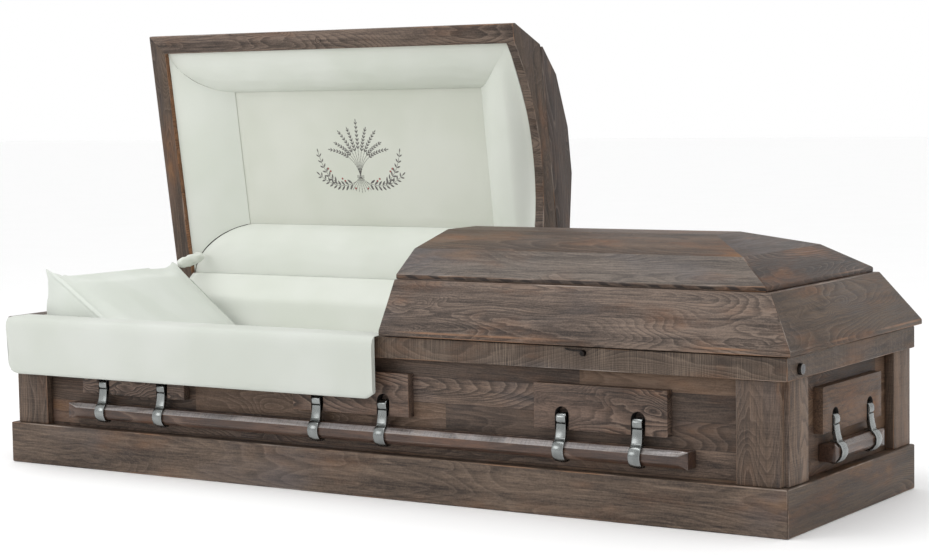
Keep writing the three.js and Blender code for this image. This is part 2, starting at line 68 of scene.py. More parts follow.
# The lid lining in the closed place: its rim, and the flat panel in the middle.
RIM_Z = 0.386
PANEL_Z = 0.4725
RIM_Y = 0.3035
PANEL_Y = 0.182
HIP_RIM_X = 1.029
HIP_PANEL_X = 0.885
SPLIT_REACH = 0.148
ARCH_HALF_CHORD = 0.305
ARCH_RISE = 0.078


def lerp(a, b, t):
    return a + (b - a) * t


def smooth(a, b, value):
    t = min(max((value - a) / (b - a), 0.0), 1.0)
    return t * t * (3 - 2 * t)


def colour(red, green, blue):
    """A colour given in everyday 0 to 255 steps, as the linear values that a shader takes."""
    steps = [c / 255 for c in (red, green, blue)]
    return tuple(c / 12.92 if c < 0.04045 else ((c + 0.055) / 1.055) ** 2.4 for c in steps) + (1.0,)


CAMERA_PLACE = Vector((2.99626, -4.56205, 0.92297))
CAMERA_YAW = math.radians(34.33183)
CAMERA_PITCH = math.radians(4.65833)
CAMERA_ROLL = math.radians(-1.12869)


def set_camera():
    yaw = CAMERA_YAW
    pitch = CAMERA_PITCH
    roll = CAMERA_ROLL
    ahead = Vector((-math.sin(yaw) * math.cos(pitch), math.cos(yaw) * math.cos(pitch), -math.sin(pitch)))
    level = Vector((math.cos(yaw), math.sin(yaw), 0.0))
    above = level.cross(ahead)
    right = math.cos(roll) * level + math.sin(roll) * above
    up = -math.sin(roll) * level + math.cos(roll) * above
    lens = bpy.data.cameras.new("camera")
    lens.sensor_width = 36.0
    lens.lens = 89.117
    lens.shift_x = 0.07731
    lens.shift_y = -0.00237
    lens.clip_end = 60.0
    camera = bpy.data.objects.new("camera", lens)
    camera.matrix_world = Matrix((
        (right.x, up.x, -ahead.x, CAMERA_PLACE.x),
        (right.y, up.y, -ahead.y, CAMERA_PLACE.y),
        (right.z, up.z, -ahead.z, CAMERA_PLACE.z),
        (0.0, 0.0, 0.0, 1.0),
    ))
    scene.collection.objects.link(camera)
    scene.camera = camera


def softbox(name, place, aim, size, power):
    lamp = bpy.data.lights.new(name, "AREA")
    lamp.shape = "RECTANGLE"
    lamp.size = size[0]
    lamp.size_y = size[1]
    lamp.energy = power
    light = bpy.data.objects.new(name, lamp)
    light.location = place
    light.rotation_euler = (Vector(aim) - Vector(place)).to_track_quat("-Z", "Y").to_euler()
    scene.collection.objects.link(light)


def set_lights():
    world = bpy.data.worlds.new("studio")
    world.use_nodes = True
    sky = world.node_tree.nodes["Background"]
    sky.inputs["Color"].default_value = (1.0, 1.0, 1.0, 1.0)
    sky.inputs["Strength"].default_value = 1.0
    scene.world = world
    softbox("overhead", (0.2, -0.6, 3.6), (0.0, 0.0, 0.3), (3.4, 2.2), 18.0)
    softbox("strip", (-1.0, -0.9, 3.5), (-0.6, -0.3, 0.2), (5.0, 0.30), 26.0)
    softbox("front_left", (-2.2, -3.8, 1.9), (-0.3, 0.0, 0.5), (2.0, 1.6), 30.0)
    softbox("foot_side", (4.0, -0.8, 1.9), (0.6, 0.0, 0.3), (1.6, 1.6), 4.0)


class Shader:
    """A material under construction: each call adds one node and gives back its output."""

    def __init__(self, name):
        self.material = bpy.data.materials.new(name)
        self.material.use_nodes = True
        self.tree = self.material.node_tree
        self.surface = self.tree.nodes["Principled BSDF"]

    def feed(self, socket, value):
        if isinstance(value, bpy.types.NodeSocket):
            self.tree.links.new(value, socket)
        else:
            socket.default_value = value

    def add(self, kind, output, inputs, **settings):
        node = self.tree.nodes.new(kind)
        for name, value in settings.items():
            setattr(node, name, value)
        for name, value in inputs.items():
            self.feed(node.inputs[name], value)
        return node.outputs[output]

    def place(self):
        return self.add("ShaderNodeTexCoord", "Object", {})

    def moved(self, vector, turn=(0, 0, 0), scale=(1, 1, 1), shift=(0, 0, 0)):
        inputs = {"Vector": vector, "Location": shift, "Rotation": turn, "Scale": scale}
        return self.add("ShaderNodeMapping", "Vector", inputs)

    def clouds(self, vector, scale, detail=2.0, rough=0.5, output="Fac"):
        inputs = {"Vector": vector, "Scale": scale, "Detail": detail, "Roughness": rough}
        return self.add("ShaderNodeTexNoise", output, inputs)

    def range(self, value, low, high, out_low=0.0, out_high=1.0):
        inputs = {"Value": value, "From Min": low, "From Max": high, "To Min": out_low, "To Max": out_high}
        return self.add("ShaderNodeMapRange", "Result", inputs, interpolation_type="SMOOTHSTEP")

    def sum(self, operation, a, b, c=0.0):
        return self.add("ShaderNodeMath", "Value", {0: a, 1: b, 2: c}, operation=operation)

    def blend(self, amount, a, b, how="MIX"):
        inputs = {"Factor": amount, 6: a, 7: b}
        return self.add("ShaderNodeMix", 2, inputs, data_type="RGBA", blend_type=how, clamp_factor=True)

    def finish(self, base, rough, height, bump, depth):
        self.feed(self.surface.inputs["Base Color"], base)
        self.feed(self.surface.inputs["Roughness"], rough)
        inputs = {"Strength": bump, "Distance": depth, "Height": height}
        self.feed(self.surface.inputs["Normal"], self.add("ShaderNodeBump", "Normal", inputs))
        return self.material


GRAIN_TURN = {"x": (0.0, 0.0, 0.0), "y": (0.0, 0.0, -math.pi / 2), "z": (0.0, math.pi / 2, 0.0)}


def stained_wood(name, along, seed, dark=(42, 33, 28), light=(104, 88, 75), opened=False, saw=0.0,
                 staves=0.0, rings=52.0, figure=0.52, warm=0.5, cool=0.4, edge=0.6, gloss=0.52, coat=0.0,
                 chatter=0.0):
    """Weathered grey-brown timber, grain along one axis, with flat-sawn figure, knots, and eased edges
    lightened in patches as edge wear with a painted highlight.
    """
    s = Shader(name)
    turn = GRAIN_TURN[along]
    if opened:
        turn = (OPEN_ANGLE, turn[1], turn[2])
    grain = s.moved(s.place(), turn, shift=(seed * 0.73, seed * 0.19, seed * 0.31))
    if staves:
        across = s.sum("DIVIDE", s.add("ShaderNodeSeparateXYZ", "Z", {"Vector": grain}), staves)
        row = s.sum("FLOOR", across, 0.0)
        stagger = s.add("ShaderNodeTexWhiteNoise", "Value", {"W": row}, noise_dimensions="1D")
        run = s.add("ShaderNodeSeparateXYZ", "X", {"Vector": grain})
        bay = s.sum("FLOOR", s.sum("MULTIPLY_ADD", run, 1.4, s.sum("MULTIPLY", stagger, 7.0)), 0.0)
        cell = s.add("ShaderNodeCombineXYZ", "Vector", {"X": row, "Y": bay})
        pick = s.add("ShaderNodeTexWhiteNoise", "Value", {"Vector": cell}, noise_dimensions="2D")
        step = s.add("ShaderNodeCombineXYZ", "Vector", {"X": s.sum("MULTIPLY", pick, 3.1), "Y": pick})
        grain = s.add("ShaderNodeVectorMath", "Vector", {0: grain, 1: step}, operation="ADD")

    # Flat-sawn figure: lines of equal height of a long, slow swell, closed into loops round the knots.
    swell = s.clouds(s.moved(grain, scale=(1.15, 6.4, 6.4)), 1.0, 2.0, 0.36)
    wobble = s.clouds(s.moved(grain, scale=(34.0, 130.0, 130.0)), 1.0, 3.0, 0.6)
    bent = s.clouds(s.moved(grain, scale=(5.0, 14.0, 14.0)), 1.0, 2.0, 0.5, "Color")
    bent = s.add("ShaderNodeVectorMath", "Vector", {0: bent, 1: (0.9, 0.9, 0.9)}, operation="MULTIPLY")
    spread = s.add("ShaderNodeVectorMath", "Vector", {0: s.moved(grain, scale=(1.7, 6.0, 6.0)), 1: bent},
                   operation="ADD")
    knot = s.add("ShaderNodeTexVoronoi", "Distance", {"Vector": spread, "Scale": 1.0, "Randomness": 1.0})
    near = s.range(knot, 0.0, 0.42, 1.0, 0.0)
    swell = s.sum("MULTIPLY_ADD", near, 0.10, s.sum("MULTIPLY_ADD", wobble, 0.009, swell))
    phase = s.sum("FRACT", s.sum("MULTIPLY", swell, rings), 0.0)
    late = s.sum("MULTIPLY", s.range(phase, 0.38, 0.86), s.range(phase, 0.90, 1.0, 1.0, 0.0))
    early = s.range(phase, 0.04, 0.24, 1.0, 0.0)
    patches = s.clouds(s.moved(grain, scale=(2.4, 5.0, 5.0), shift=(2.0, 4.0, 6.0)), 1.0, 2.0)
    vivid = s.range(patches, 0.34, 0.60)
    late = s.sum("MULTIPLY", late, s.sum("MULTIPLY_ADD", vivid, 0.75, 0.25))
    early = s.sum("MULTIPLY", early, s.sum("MULTIPLY", vivid, 0.40 * figure))

    fibre = s.clouds(s.moved(grain, scale=(12.0, 240.0, 240.0)), 1.0, 4.0, 0.7)
    pores = s.range(s.clouds(s.moved(grain, scale=(34.0, 1100.0, 1100.0)), 1.0, 1.0), 0.58, 0.74)
    streak = s.clouds(s.moved(grain, scale=(1.5, 34.0, 34.0)), 1.0, 3.0, 0.55)
    stain = s.clouds(s.moved(grain, scale=(3.0, 11.0, 11.0), shift=(5.0, 2.0, 8.0)), 1.0, 5.0, 0.66)
    grit = s.clouds(s.moved(grain, scale=(240.0, 330.0, 330.0)), 1.0, 3.0, 0.65)
    rust = s.clouds(s.moved(grain, scale=(4.6, 12.0, 12.0), shift=(1.0, 9.0, 4.0)), 1.0, 4.0, 0.6)
    slate = s.clouds(s.moved(grain, scale=(3.0, 7.0, 7.0), shift=(7.0, 3.0, 2.0)), 1.0, 3.0, 0.5)

    along_share = 1.0 - 0.65 * saw
    tone = s.sum("MULTIPLY_ADD", fibre, 0.75 * along_share, s.sum("MULTIPLY", streak, 0.6 * along_share))
    tone = s.sum("MULTIPLY_ADD", stain, 0.42, tone)
    tone = s.sum("MULTIPLY_ADD", grit, 0.36, tone)
    middle = 0.5 * (1.35 * along_share + 0.78)
    base = s.blend(s.range(tone, middle - 0.27, middle + 0.27), colour(*dark), colour(*light))
    base = s.blend(s.range(rust, 0.48, 0.76, 0.0, warm), base, colour(112, 74, 46))
    base = s.blend(s.range(slate, 0.50, 0.76, 0.0, cool), base, colour(86, 84, 88))
    ochre = s.sum("MULTIPLY", s.range(rust, 0.60, 0.74, 0.0, warm), s.range(slate, 0.46, 0.60))
    base = s.blend(s.sum("MULTIPLY", ochre, 0.6), base, colour(136, 104, 66))
    base = s.blend(s.sum("MULTIPLY", late, figure), base, colour(30, 22, 18))
    base = s.blend(early, base, colour(142, 124, 110))
    base = s.blend(s.range(knot, 0.02, 0.12, 0.6, 0.0), base, colour(30, 22, 18))
    base = s.blend(s.sum("MULTIPLY", pores, 0.42), base, colour(22, 17, 15))
    height = s.sum("MULTIPLY_ADD", fibre, 0.5, s.sum("MULTIPLY", late, -0.35))
    height = s.sum("MULTIPLY_ADD", pores, -0.5, height)
    if staves:
        base = s.blend(s.range(pick, 0.62, 0.90, 0.0, 0.42), base, colour(48, 38, 32))
        base = s.blend(s.range(pick, 0.40, 0.10, 0.0, 0.34), base, colour(112, 86, 64))
        joint = s.sum("PINGPONG", across, 0.5)
        base = s.blend(s.range(joint, 0.0, 0.025, 0.6, 0.0), base, colour(24, 18, 16))
    if saw:
        marks = s.clouds(s.moved(grain, scale=(520.0, 5.0, 5.0)), 1.0, 2.0, 0.7)
        passes = s.clouds(s.moved(grain, scale=(11.0, 5.0, 5.0)), 1.0, 3.0)
        cut = s.sum("MULTIPLY", s.range(marks, 0.44, 0.62), s.range(passes, 0.36, 0.62))
        base = s.blend(s.sum("MULTIPLY", cut, 0.42 * saw), base, colour(134, 117, 102))
        base = s.blend(s.range(marks, 0.47, 0.34, 0.0, 0.5 * saw), base, colour(26, 20, 17))
        height = s.sum("MULTIPLY_ADD", marks, 1.1 * saw, height)
    if chatter:
        slant = s.moved(s.place(), (0.0, math.radians(62.0), 0.0))
        wave = {"Vector": slant, "Scale": 11.0, "Distortion": 2.4, "Detail": 2.0, "Detail Scale": 1.4}
        bite = s.add("ShaderNodeTexWave", "Fac", wave, wave_type="BANDS", bands_direction="X")
        base = s.blend(s.range(bite, 0.52, 0.86, 0.0, chatter), base, colour(34, 25, 21))
    # Eased edges turn a pale grey in patches: edge wear, and a painted highlight where the edges catch the
    # light.
    edge_wear_and_highlight = s.add("ShaderNodeAttribute", "Fac", {}, attribute_name="edge_wear_and_highlight")
    edge_patch_noise = s.clouds(s.moved(grain, scale=(5.0, 14.0, 14.0), shift=(3.0, 1.0, 6.0)), 1.0, 4.0, 0.6)
    rub_and_highlight_mask = s.range(edge_patch_noise, 0.44, 0.66)
    scuff_and_highlight = s.blend(s.range(slate, 0.42, 0.58), colour(146, 108, 80), colour(164, 152, 142))
    base = s.blend(s.sum("MULTIPLY", s.sum("MULTIPLY", edge_wear_and_highlight, rub_and_highlight_mask), edge), base, scuff_and_highlight)
    rough = s.range(fibre, 0.2, 0.8, gloss - 0.08, gloss + 0.14)
    s.surface.inputs["Specular IOR Level"].default_value = 0.28
    s.surface.inputs["Coat Weight"].default_value = coat
    s.surface.inputs["Coat Roughness"].default_value = 0.06
    s.surface.inputs["Coat IOR"].default_value = 1.5
    return s.finish(base, rough, height, 0.5, 0.0008)


def slot_black():
    """The inside of the handle slots, near black: painted shade deep in the slots."""
    s = Shader("slot_black")
    mottle = s.clouds(s.place(), 120.0, 3.0)
    base = s.blend(mottle, colour(14, 12, 11), colour(30, 26, 23))
    return s.finish(base, s.range(mottle, 0.2, 0.8, 0.6, 0.85), mottle, 0.2, 0.0004)


def brushed_pewter():
    s = Shader("brushed_pewter")
    place = s.place()
    brush = s.clouds(s.moved(place, scale=(900.0, 900.0, 60.0)), 1.0, 2.0, 0.5)
    cloud = s.clouds(place, 26.0, 2.0)
    base = s.blend(s.range(cloud, 0.3, 0.7), colour(140, 143, 142), colour(116, 119, 118))
    # Eased rims turn a paler grey: edge wear with a painted highlight.
    edge_wear_and_highlight = s.add("ShaderNodeAttribute", "Fac", {}, attribute_name="edge_wear_and_highlight")
    base = s.blend(s.sum("MULTIPLY", edge_wear_and_highlight, 0.6), base, colour(188, 189, 188))
    s.surface.inputs["Metallic"].default_value = 1.0
    return s.finish(base, s.range(brush, 0.2, 0.8, 0.21, 0.29), brush, 0.02, 0.0003)


def dark_bronze(name="dark_bronze", deep=(24, 22, 22), lighter=(50, 44, 40), rim=0.0):
    s = Shader(name)
    cloud = s.clouds(s.place(), 180.0, 4.0)
    base = s.blend(s.range(cloud, 0.35, 0.7), colour(*deep), colour(*lighter))
    # rim lightens the eased rims towards pale grey: a painted highlight, used on the foot knob's steel cap.
    edge_wear_and_highlight = s.add("ShaderNodeAttribute", "Fac", {}, attribute_name="edge_wear_and_highlight")
    base = s.blend(s.sum("MULTIPLY", edge_wear_and_highlight, rim), base, colour(168, 164, 158))
    s.surface.inputs["Metallic"].default_value = 0.85
    return s.finish(base, s.range(cloud, 0.2, 0.8, 0.32, 0.52), cloud, 0.15, 0.0004)


def lining_cloth(name, tint=(208, 210, 201), weave=1500.0):
    """Ivory cloth with a fine plain weave, a few soft shade changes and a slight nap."""
    s = Shader(name)
    place = s.place()
    lays = []
    for turn, direction in (((0.0, 0.0, 0.4), "X"), ((0.5, 0.3, 0.0), "Z")):
        lay = {"Vector": s.moved(place, turn), "Scale": weave / 6.3, "Distortion": 0.6, "Detail": 1.0}
        lays.append(s.add("ShaderNodeTexWave", "Fac", lay, wave_type="BANDS", bands_direction=direction))
    threads = s.sum("MULTIPLY", *lays)
    nap = s.clouds(place, 400.0, 3.0, 0.6)
    soft = s.clouds(place, 5.0, 2.0)
    red, green, blue = tint
    base = s.blend(s.range(soft, 0.3, 0.7), colour(red, green, blue), colour(red - 7, green - 6, blue - 8))
    base = s.blend(s.sum("MULTIPLY", nap, 0.12), base, colour(red - 30, green - 30, blue - 34))
    s.surface.inputs["Sheen Weight"].default_value = 0.12
    s.surface.inputs["Sheen Roughness"].default_value = 0.5
    s.surface.inputs["Specular IOR Level"].default_value = 0.25
    height = s.sum("MULTIPLY_ADD", threads, 0.5, s.sum("MULTIPLY", nap, 0.5))
    return s.finish(base, s.range(nap, 0.2, 0.8, 0.72, 0.88), height, 0.16, 0.0005)


def sewing_thread(name, tint):
    """Satin-stitch thread: fine parallel strands with a little shine."""
    s = Shader(name)
    place = s.place()
    strands = s.clouds(s.moved(place, (0.3, 0.2, 0.6), (1800.0, 260.0, 1800.0)), 1.0, 2.0)
    red, green, blue = tint
    base = s.blend(strands, colour(red, green, blue), colour(red + 34, green + 32, blue + 32))
    return s.finish(base, s.range(strands, 0.2, 0.8, 0.45, 0.7), strands, 0.3, 0.0003)


def make_piece(name, bm, materials, body, replaced=(), sharp=32.0, turn=None):
    """Puts a finished bmesh into the scene as one piece that rides on a CAD body."""
    if turn is not None:
        bmesh.ops.transform(bm, matrix=turn, verts=bm.verts)
    mesh = bpy.data.meshes.new(name)
    bm.to_mesh(mesh)
    bm.free()
    for material in materials:
        mesh.materials.append(material)
    mesh.shade_smooth()
    mesh.set_sharp_from_angle(angle=math.radians(sharp))
    piece = bpy.data.objects.new(name, mesh)
    scene.collection.objects.link(piece)
    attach(piece, body)
    if replaced:
        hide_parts(*replaced)
    return piece


def eased_copy(node, ease, sharp=28.0):
    """A copy of a CAD board with its edges eased; the eased faces carry a value that lightens them as edge
    wear with a painted highlight.
    """
    bm = bmesh.new()
    bm.from_mesh(nodes[node].data)
    bmesh.ops.remove_doubles(bm, verts=bm.verts, dist=2e-5)
    bmesh.ops.dissolve_limit(bm, angle_limit=math.radians(0.6), verts=bm.verts, edges=bm.edges)
    edges = [e for e in bm.edges if e.is_manifold and e.calc_face_angle(0.0) > math.radians(sharp)]
    edge_wear_and_highlight = bm.faces.layers.float.new("edge_wear_and_highlight")
    made = bmesh.ops.bevel(bm, geom=edges, offset=ease, offset_type="OFFSET", segments=2, affect="EDGES",
                           profile=0.5, material=-1, clamp_overlap=True)
    for face in made["faces"]:
        face[edge_wear_and_highlight] = 1.0
    return bm


def board(node, body, materials, ease=0.002, choose=None):
    """One wooden board of the casket. choose(face centre, face normal) picks the material of a face."""
    bm = eased_copy(node, ease)
    if choose:
        bm.normal_update()
        for face in bm.faces:
            face.material_index = choose(face.calc_center_median(), face.normal)
    return make_piece(f"{node}_board", bm, materials, body, (node,))


# Each handle block has two slots, this far from its middle.
SLOT_FROM_MIDDLE = 0.092
SLOT_HALF_WIDTH = 0.0172
SLOT_TOP_Z = 0.2385


def make_case():
    plank = stained_wood("plinth_wood", "x", 1.0, light=(112, 95, 81), rings=30.0, figure=0.30, warm=0.35)
    plank_end = stained_wood("plinth_end_wood", "y", 2.0, light=(98, 82, 68), warm=0.5, cool=0.15)
    panel = stained_wood("panel_wood", "x", 3.4, light=(122, 102, 88), staves=0.058)
    panel_end = stained_wood("panel_end_wood", "y", 4.3, light=(108, 86, 70), staves=0.055, warm=0.8,
                             cool=0.1)
    post = stained_wood("post_wood", "z", 5.0, light=(106, 87, 73), saw=0.3, cool=0.2)
    post_end = stained_wood("post_end_wood", "z", 5.6, light=(126, 104, 87), saw=0.3, cool=0.1)
    rail = stained_wood("rail_wood", "x", 6.0, saw=1.4)
    rail_end = stained_wood("rail_end_wood", "y", 7.0, saw=0.3, cool=0.5, figure=0.22)
    block = stained_wood("block_wood", "x", 8.2, light=(112, 92, 80), saw=0.12, rings=64.0, figure=0.8)
    block_end = stained_wood("block_end_wood", "y", 9.1, light=(112, 87, 69), warm=0.95, cool=0.0)
    black = slot_black()

    def end_face(centre, normal):
        return 1 if abs(normal.x) > 0.5 else 0

    for wall in ("front", "back", "foot", "head"):
        side = wall in ("front", "back")
        board(f"plinth_{wall}", "casket", [plank if side else plank_end], 0.0025)
        board(f"top_rail_{wall}", "casket", [rail if side else rail_end], 0.002)
        kind = "side" if side else "end"
        board(f"{kind}_panel_{wall}", "casket", [panel if side else panel_end], 0.0015)
    board("bottom_board", "casket", [panel], 0.0015)
    for wall in ("front", "back"):
        for end in ("head", "foot"):
            board(f"corner_post_{wall}_{end}", "casket", [post, post_end], 0.002, end_face)
    names = [f"handle_block_{wall}_{n}" for wall in ("front", "back") for n in (1, 2, 3)]
    for node in names + ["handle_block_foot", "handle_block_head"]:
        low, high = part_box(node)
        across = (low + high) / 2
        side = node.split("_")[2] in ("front", "back")

        # Faces inside a slot take the near-black painted shade.
        def slot_face(centre, normal, low=low, across=across, side=side):
            along = abs(centre.x - across.x) if side else abs(centre.y - across.y)
            off = abs(along - SLOT_FROM_MIDDLE)
            inside = off < SLOT_HALF_WIDTH and low.z < centre.z < SLOT_TOP_Z
            out = abs(normal.y) if side else abs(normal.x)
            return 1 if inside and (out < 0.5 or centre.z < 0.23 and off < 0.012) else 0

        board(node, "casket", [block if side else block_end, black], 0.0012, slot_face)


# The lower lip of the lids, where the mitre lines start.
LIP_X = 1.078
LIP_Y = 0.353


def lid_board(node, lid, side, materials, choose, turn):
    """One board of a lid. Its faces take their materials in the closed place, by choose(centre, normal)."""
    bm = eased_copy(node, 0.0022)
    if turn is not None:
        bmesh.ops.transform(bm, matrix=turn.inverted(), verts=bm.verts)
    bm.normal_update()
    for hand in (-1, 1):
        under = [f for f in bm.faces if f.normal.z < -0.5]
        geom = under + list({e for f in under for e in f.edges}) + list({v for f in under for v in f.verts})
        bmesh.ops.bisect_plane(bm, geom=geom, plane_co=(side * LIP_X, hand * LIP_Y, 0),
                               plane_no=(hand, -side, 0))
    bm.normal_update()
    for face in bm.faces:
        face.material_index = choose(face.calc_center_median(), face.normal)
    make_piece(f"{node}_board", bm, materials, lid, (node,), 32.0, turn)


def make_lids():
    for lid, side, turn, seed in (("head_lid", -1, OPENED, 11.0), ("foot_lid", 1, None, 13.0)):
        def lid_wood(part, run, step, lid=lid, seed=seed, opened=turn is not None, **looks):
            return stained_wood(f"{lid}_{part}_wood", run, seed + step, opened=opened, **looks)

        along = lid_wood("frame", "x", 0.0, light=(123, 106, 94), rings=80.0)
        across = lid_wood("end", "y", 1.0, light=(96, 80, 66), rings=60.0, warm=0.8, cool=0.3, figure=0.36)
        bare = lid_wood("inner_edge", "x", 0.5, dark=(92, 62, 42), light=(150, 106, 74), cool=0.0)
        deck = lid_wood("deck", "x", 2.0, dark=(54, 48, 44), light=(119, 108, 99), rings=56.0, cool=0.7,
                        warm=0.3, figure=0.30)
        deck_end = lid_wood("deck_end", "y", 3.0, light=(76, 62, 54), rings=52.0, warm=0.7, cool=0.1)
        top = lid_wood("top", "x", 5.0, dark=(46, 35, 28), light=(104, 85, 70), rings=34.0, warm=0.8,
                       cool=0.2, figure=0.30)
        top_end = lid_wood("top_end", "y", 6.0, light=(84, 70, 62), rings=34.0, cool=0.6, figure=0.35)
        # The riser edge of the deck is a darker wood: painted shade on the upright edge, with dark slanting
        # saw chatter marks.
        shaded_riser = lid_wood("shaded_riser", "x", 7.0, light=(96, 80, 68), figure=0.3, chatter=0.95)

        def frame_face(centre, normal, side=side):
            if normal.z < -0.5:
                return 1 if LIP_X - side * centre.x < LIP_Y - abs(centre.y) else 0
            end_inside = normal.x * side < -0.5 and side * centre.x > 0.9
            side_inside = normal.y * centre.y < 0 and abs(normal.y) > 0.5
            if (end_inside or side_inside) and centre.z < 0.395:
                return 2
            return 1 if abs(normal.x) > 0.5 else 0

        def deck_face(centre, normal):
            # Upright long edges of the deck take the darker painted-shade riser wood.
            if abs(normal.z) < 0.3 and abs(normal.y) > 0.7:
                return 4
            return (2 if normal.z > 0.91 else 0) + (1 if abs(normal.x) > 0.14 else 0)

        lid_board(f"{lid}_frame", lid, side, [along, across, bare], frame_face, turn)
        lid_board(f"{lid}_deck", lid, side, [deck, deck_end, top, top_end, shaded_riser], deck_face, turn)


ARM_FACE = {"front": 0.332, "back": 0.332, "foot": 1.057, "head": 1.057}
ARM_TURN = {"front": 0.0, "back": math.pi, "foot": math.pi / 2, "head": -math.pi / 2}
ARM_WIDTH = 0.023
CLASP_WIDTH = 0.028


def draw_along(bm, row, length, cells):
    """Draws a row of edges along X in equal steps, and gives back the last row."""
    for step in range(cells):
        grown = bmesh.ops.extrude_edge_only(bm, edges=row)
        moved = [v for v in grown["geom"] if isinstance(v, bmesh.types.BMVert)]
        bmesh.ops.translate(bm, verts=moved, vec=(length / cells, 0, 0))
        level = moved[0].co.x
        row = [e for e in grown["geom"] if isinstance(e, bmesh.types.BMEdge)
               and all(abs(v.co.x - level) < 1e-6 for v in e.verts)]
    return row


def arc(middle, radius, start, end, count):
    for n in range(count + 1):
        angle = math.radians(lerp(start, end, n / count))
        yield middle[0] + radius * math.cos(angle), middle[1] + radius * math.sin(angle)


def arm_outline():
    """The arm seen from the side, as (out from the block, up, crown) with lengths in millimetres."""
    bar = (-2.0, 144.5)
    inner = 20.8
    outer = 25.0
    knuckle = (-5.0, 213.5)
    barrel = 11.0
    crowned = [(3.4, 203.4), (5.1, 205.0), (5.9, 208.0), *arc(knuckle, barrel, -8, 120, 12)]
    plain = list(arc(knuckle, barrel, 140, 212, 5))
    plain += [(-10.5, 205.6), (-7.2, 202.0), (-4.6, 194.0), (-3.6, 184.0), (-1.8, 175.0)]
    plain += list(arc(bar, outer, 88, 105, 3))
    plain += list(arc(bar, inner, 105, -105, 24))
    band = list(arc(bar, outer, -105, 52, 24))
    ridges = [(11.0, 165.4), (11.7, 167.0), (9.8, 168.2), (10.3, 170.2), (9.0, 171.2)]
    strap = [(8.6, 173.6), (7.2, 179.0), (6.1, 185.0), (5.3, 191.0), (4.8, 196.5), (4.5, 200.6)]
    notch = [(1.2, 202.4)]
    crowns = ((crowned, 0.3), (plain, 0.0), (band, 0.8), (ridges, 0.5), (strap, 0.45), (notch, 0.2))
    return [(*p, crown) for points, crown in crowns for p in points]


def arm_width(z):
    """The arm's width over its nominal width, at a height."""
    strap = lerp(0.0250, 0.0226, smooth(0.170, 0.200, z))
    wide = lerp(CLASP_WIDTH, strap, smooth(0.1645, 0.1665, z))
    wide = lerp(wide, ARM_WIDTH - 0.0005, smooth(0.2012, 0.2030, z))
    return wide / ARM_WIDTH


def make_arm(along, face):
    """One cast arm: its side outline drawn across, crowned on the outside and eased at the rims."""
    outline = [Vector((out, up)) / 1000 for out, up, crown in arm_outline()]
    crowns = [crown for out, up, crown in arm_outline()]
    count = len(outline)
    bm = bmesh.new()
    row = [bm.verts.new((-ARM_WIDTH / 2, p.x, p.y)) for p in outline]
    geom = [bm.edges.new((row[n], row[(n + 1) % count])) for n in range(count)]
    bmesh.ops.edgeloop_fill(bm, edges=geom)
    geom = draw_along(bm, geom, ARM_WIDTH, 8)
    bmesh.ops.edgeloop_fill(bm, edges=geom)
    bmesh.ops.recalc_face_normals(bm, faces=bm.faces)
    edge_wear_and_highlight = bm.faces.layers.float.new("edge_wear_and_highlight")
    rims = [e for e in bm.edges if abs(e.verts[0].co.x - e.verts[1].co.x) < 1e-6
            and abs(abs(e.verts[0].co.x) - ARM_WIDTH / 2) < 1e-6]
    made = bmesh.ops.bevel(bm, geom=rims, offset=0.0011, offset_type="OFFSET", segments=2, affect="EDGES",
                           profile=0.5, material=-1, clamp_overlap=True)
    # The eased rims get half of the paler edge colour: edge wear with a painted highlight.
    for rim_face in made["faces"]:
        rim_face[edge_wear_and_highlight] = 0.5
    for v in bm.verts:
        nearest = min(range(count), key=lambda n: (outline[n] - Vector((v.co.y, v.co.z))).length_squared)
        run = outline[(nearest + 1) % count] - outline[nearest - 1]
        out = Vector((run.y, -run.x)).normalized() * 0.0024 * crowns[nearest]
        across = v.co.x / (ARM_WIDTH / 2)
        lift = max(1 - across * across, 0.0)
        x = along + v.co.x * arm_width(v.co.z)
        v.co = Vector((x, -face - v.co.y - out.x * lift, v.co.z + out.y * lift))
    bmesh.ops.recalc_face_normals(bm, faces=bm.faces)
    return bm


def make_handles():
    pewter = brushed_pewter()
    bars = {}
    for run, seed in (("x", 21.0), ("y", 22.0)):
        sides = stained_wood(f"bar_wood_{run}", run, seed, (36, 25, 20), (86, 63, 51), rings=12.0, cool=0.1,
                             edge=0.2, gloss=0.32, coat=0.3)
        # The upward chamfer of each bar is painted pale: a painted reflection of the overhead light, with
        # saw marks; palest on the long bars.
        deep, pale = ((96, 88, 86), (166, 161, 160)) if run == "x" else ((52, 41, 36), (100, 82, 72))
        lighter = stained_wood(f"bar_top_painted_reflection_wood_{run}", run, seed + 4.0, deep, pale, saw=0.7, rings=12.0,
                              cool=0.5, warm=0.2, edge=0.2, gloss=0.24, coat=1.0 if run == "x" else 0.3)
        bars[run] = [sides, lighter]

    # The upward chamfer takes the pale painted reflection.
    def bar_face(centre, normal):
        return 1 if 0.5 < normal.z < 0.9 else 0

    for wall, face in ARM_FACE.items():
        side = wall in ("front", "back")
        turn = Matrix.Rotation(ARM_TURN[wall], 4, "Z")
        woods = bars["x" if side else "y"]
        board(f"handle_bar_{wall}", f"{wall}_handle", woods, 0.0012, bar_face)
        for number in range(1, 7 if side else 3):
            node = f"handle_arm_{wall}_{number}"
            low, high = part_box(node)
            along = (turn.inverted() @ ((low + high) / 2)).x
            bm = make_arm(along, face)
            make_piece(f"{node}_casting", bm, [pewter], f"{wall}_handle", (node,), 40.0, turn)


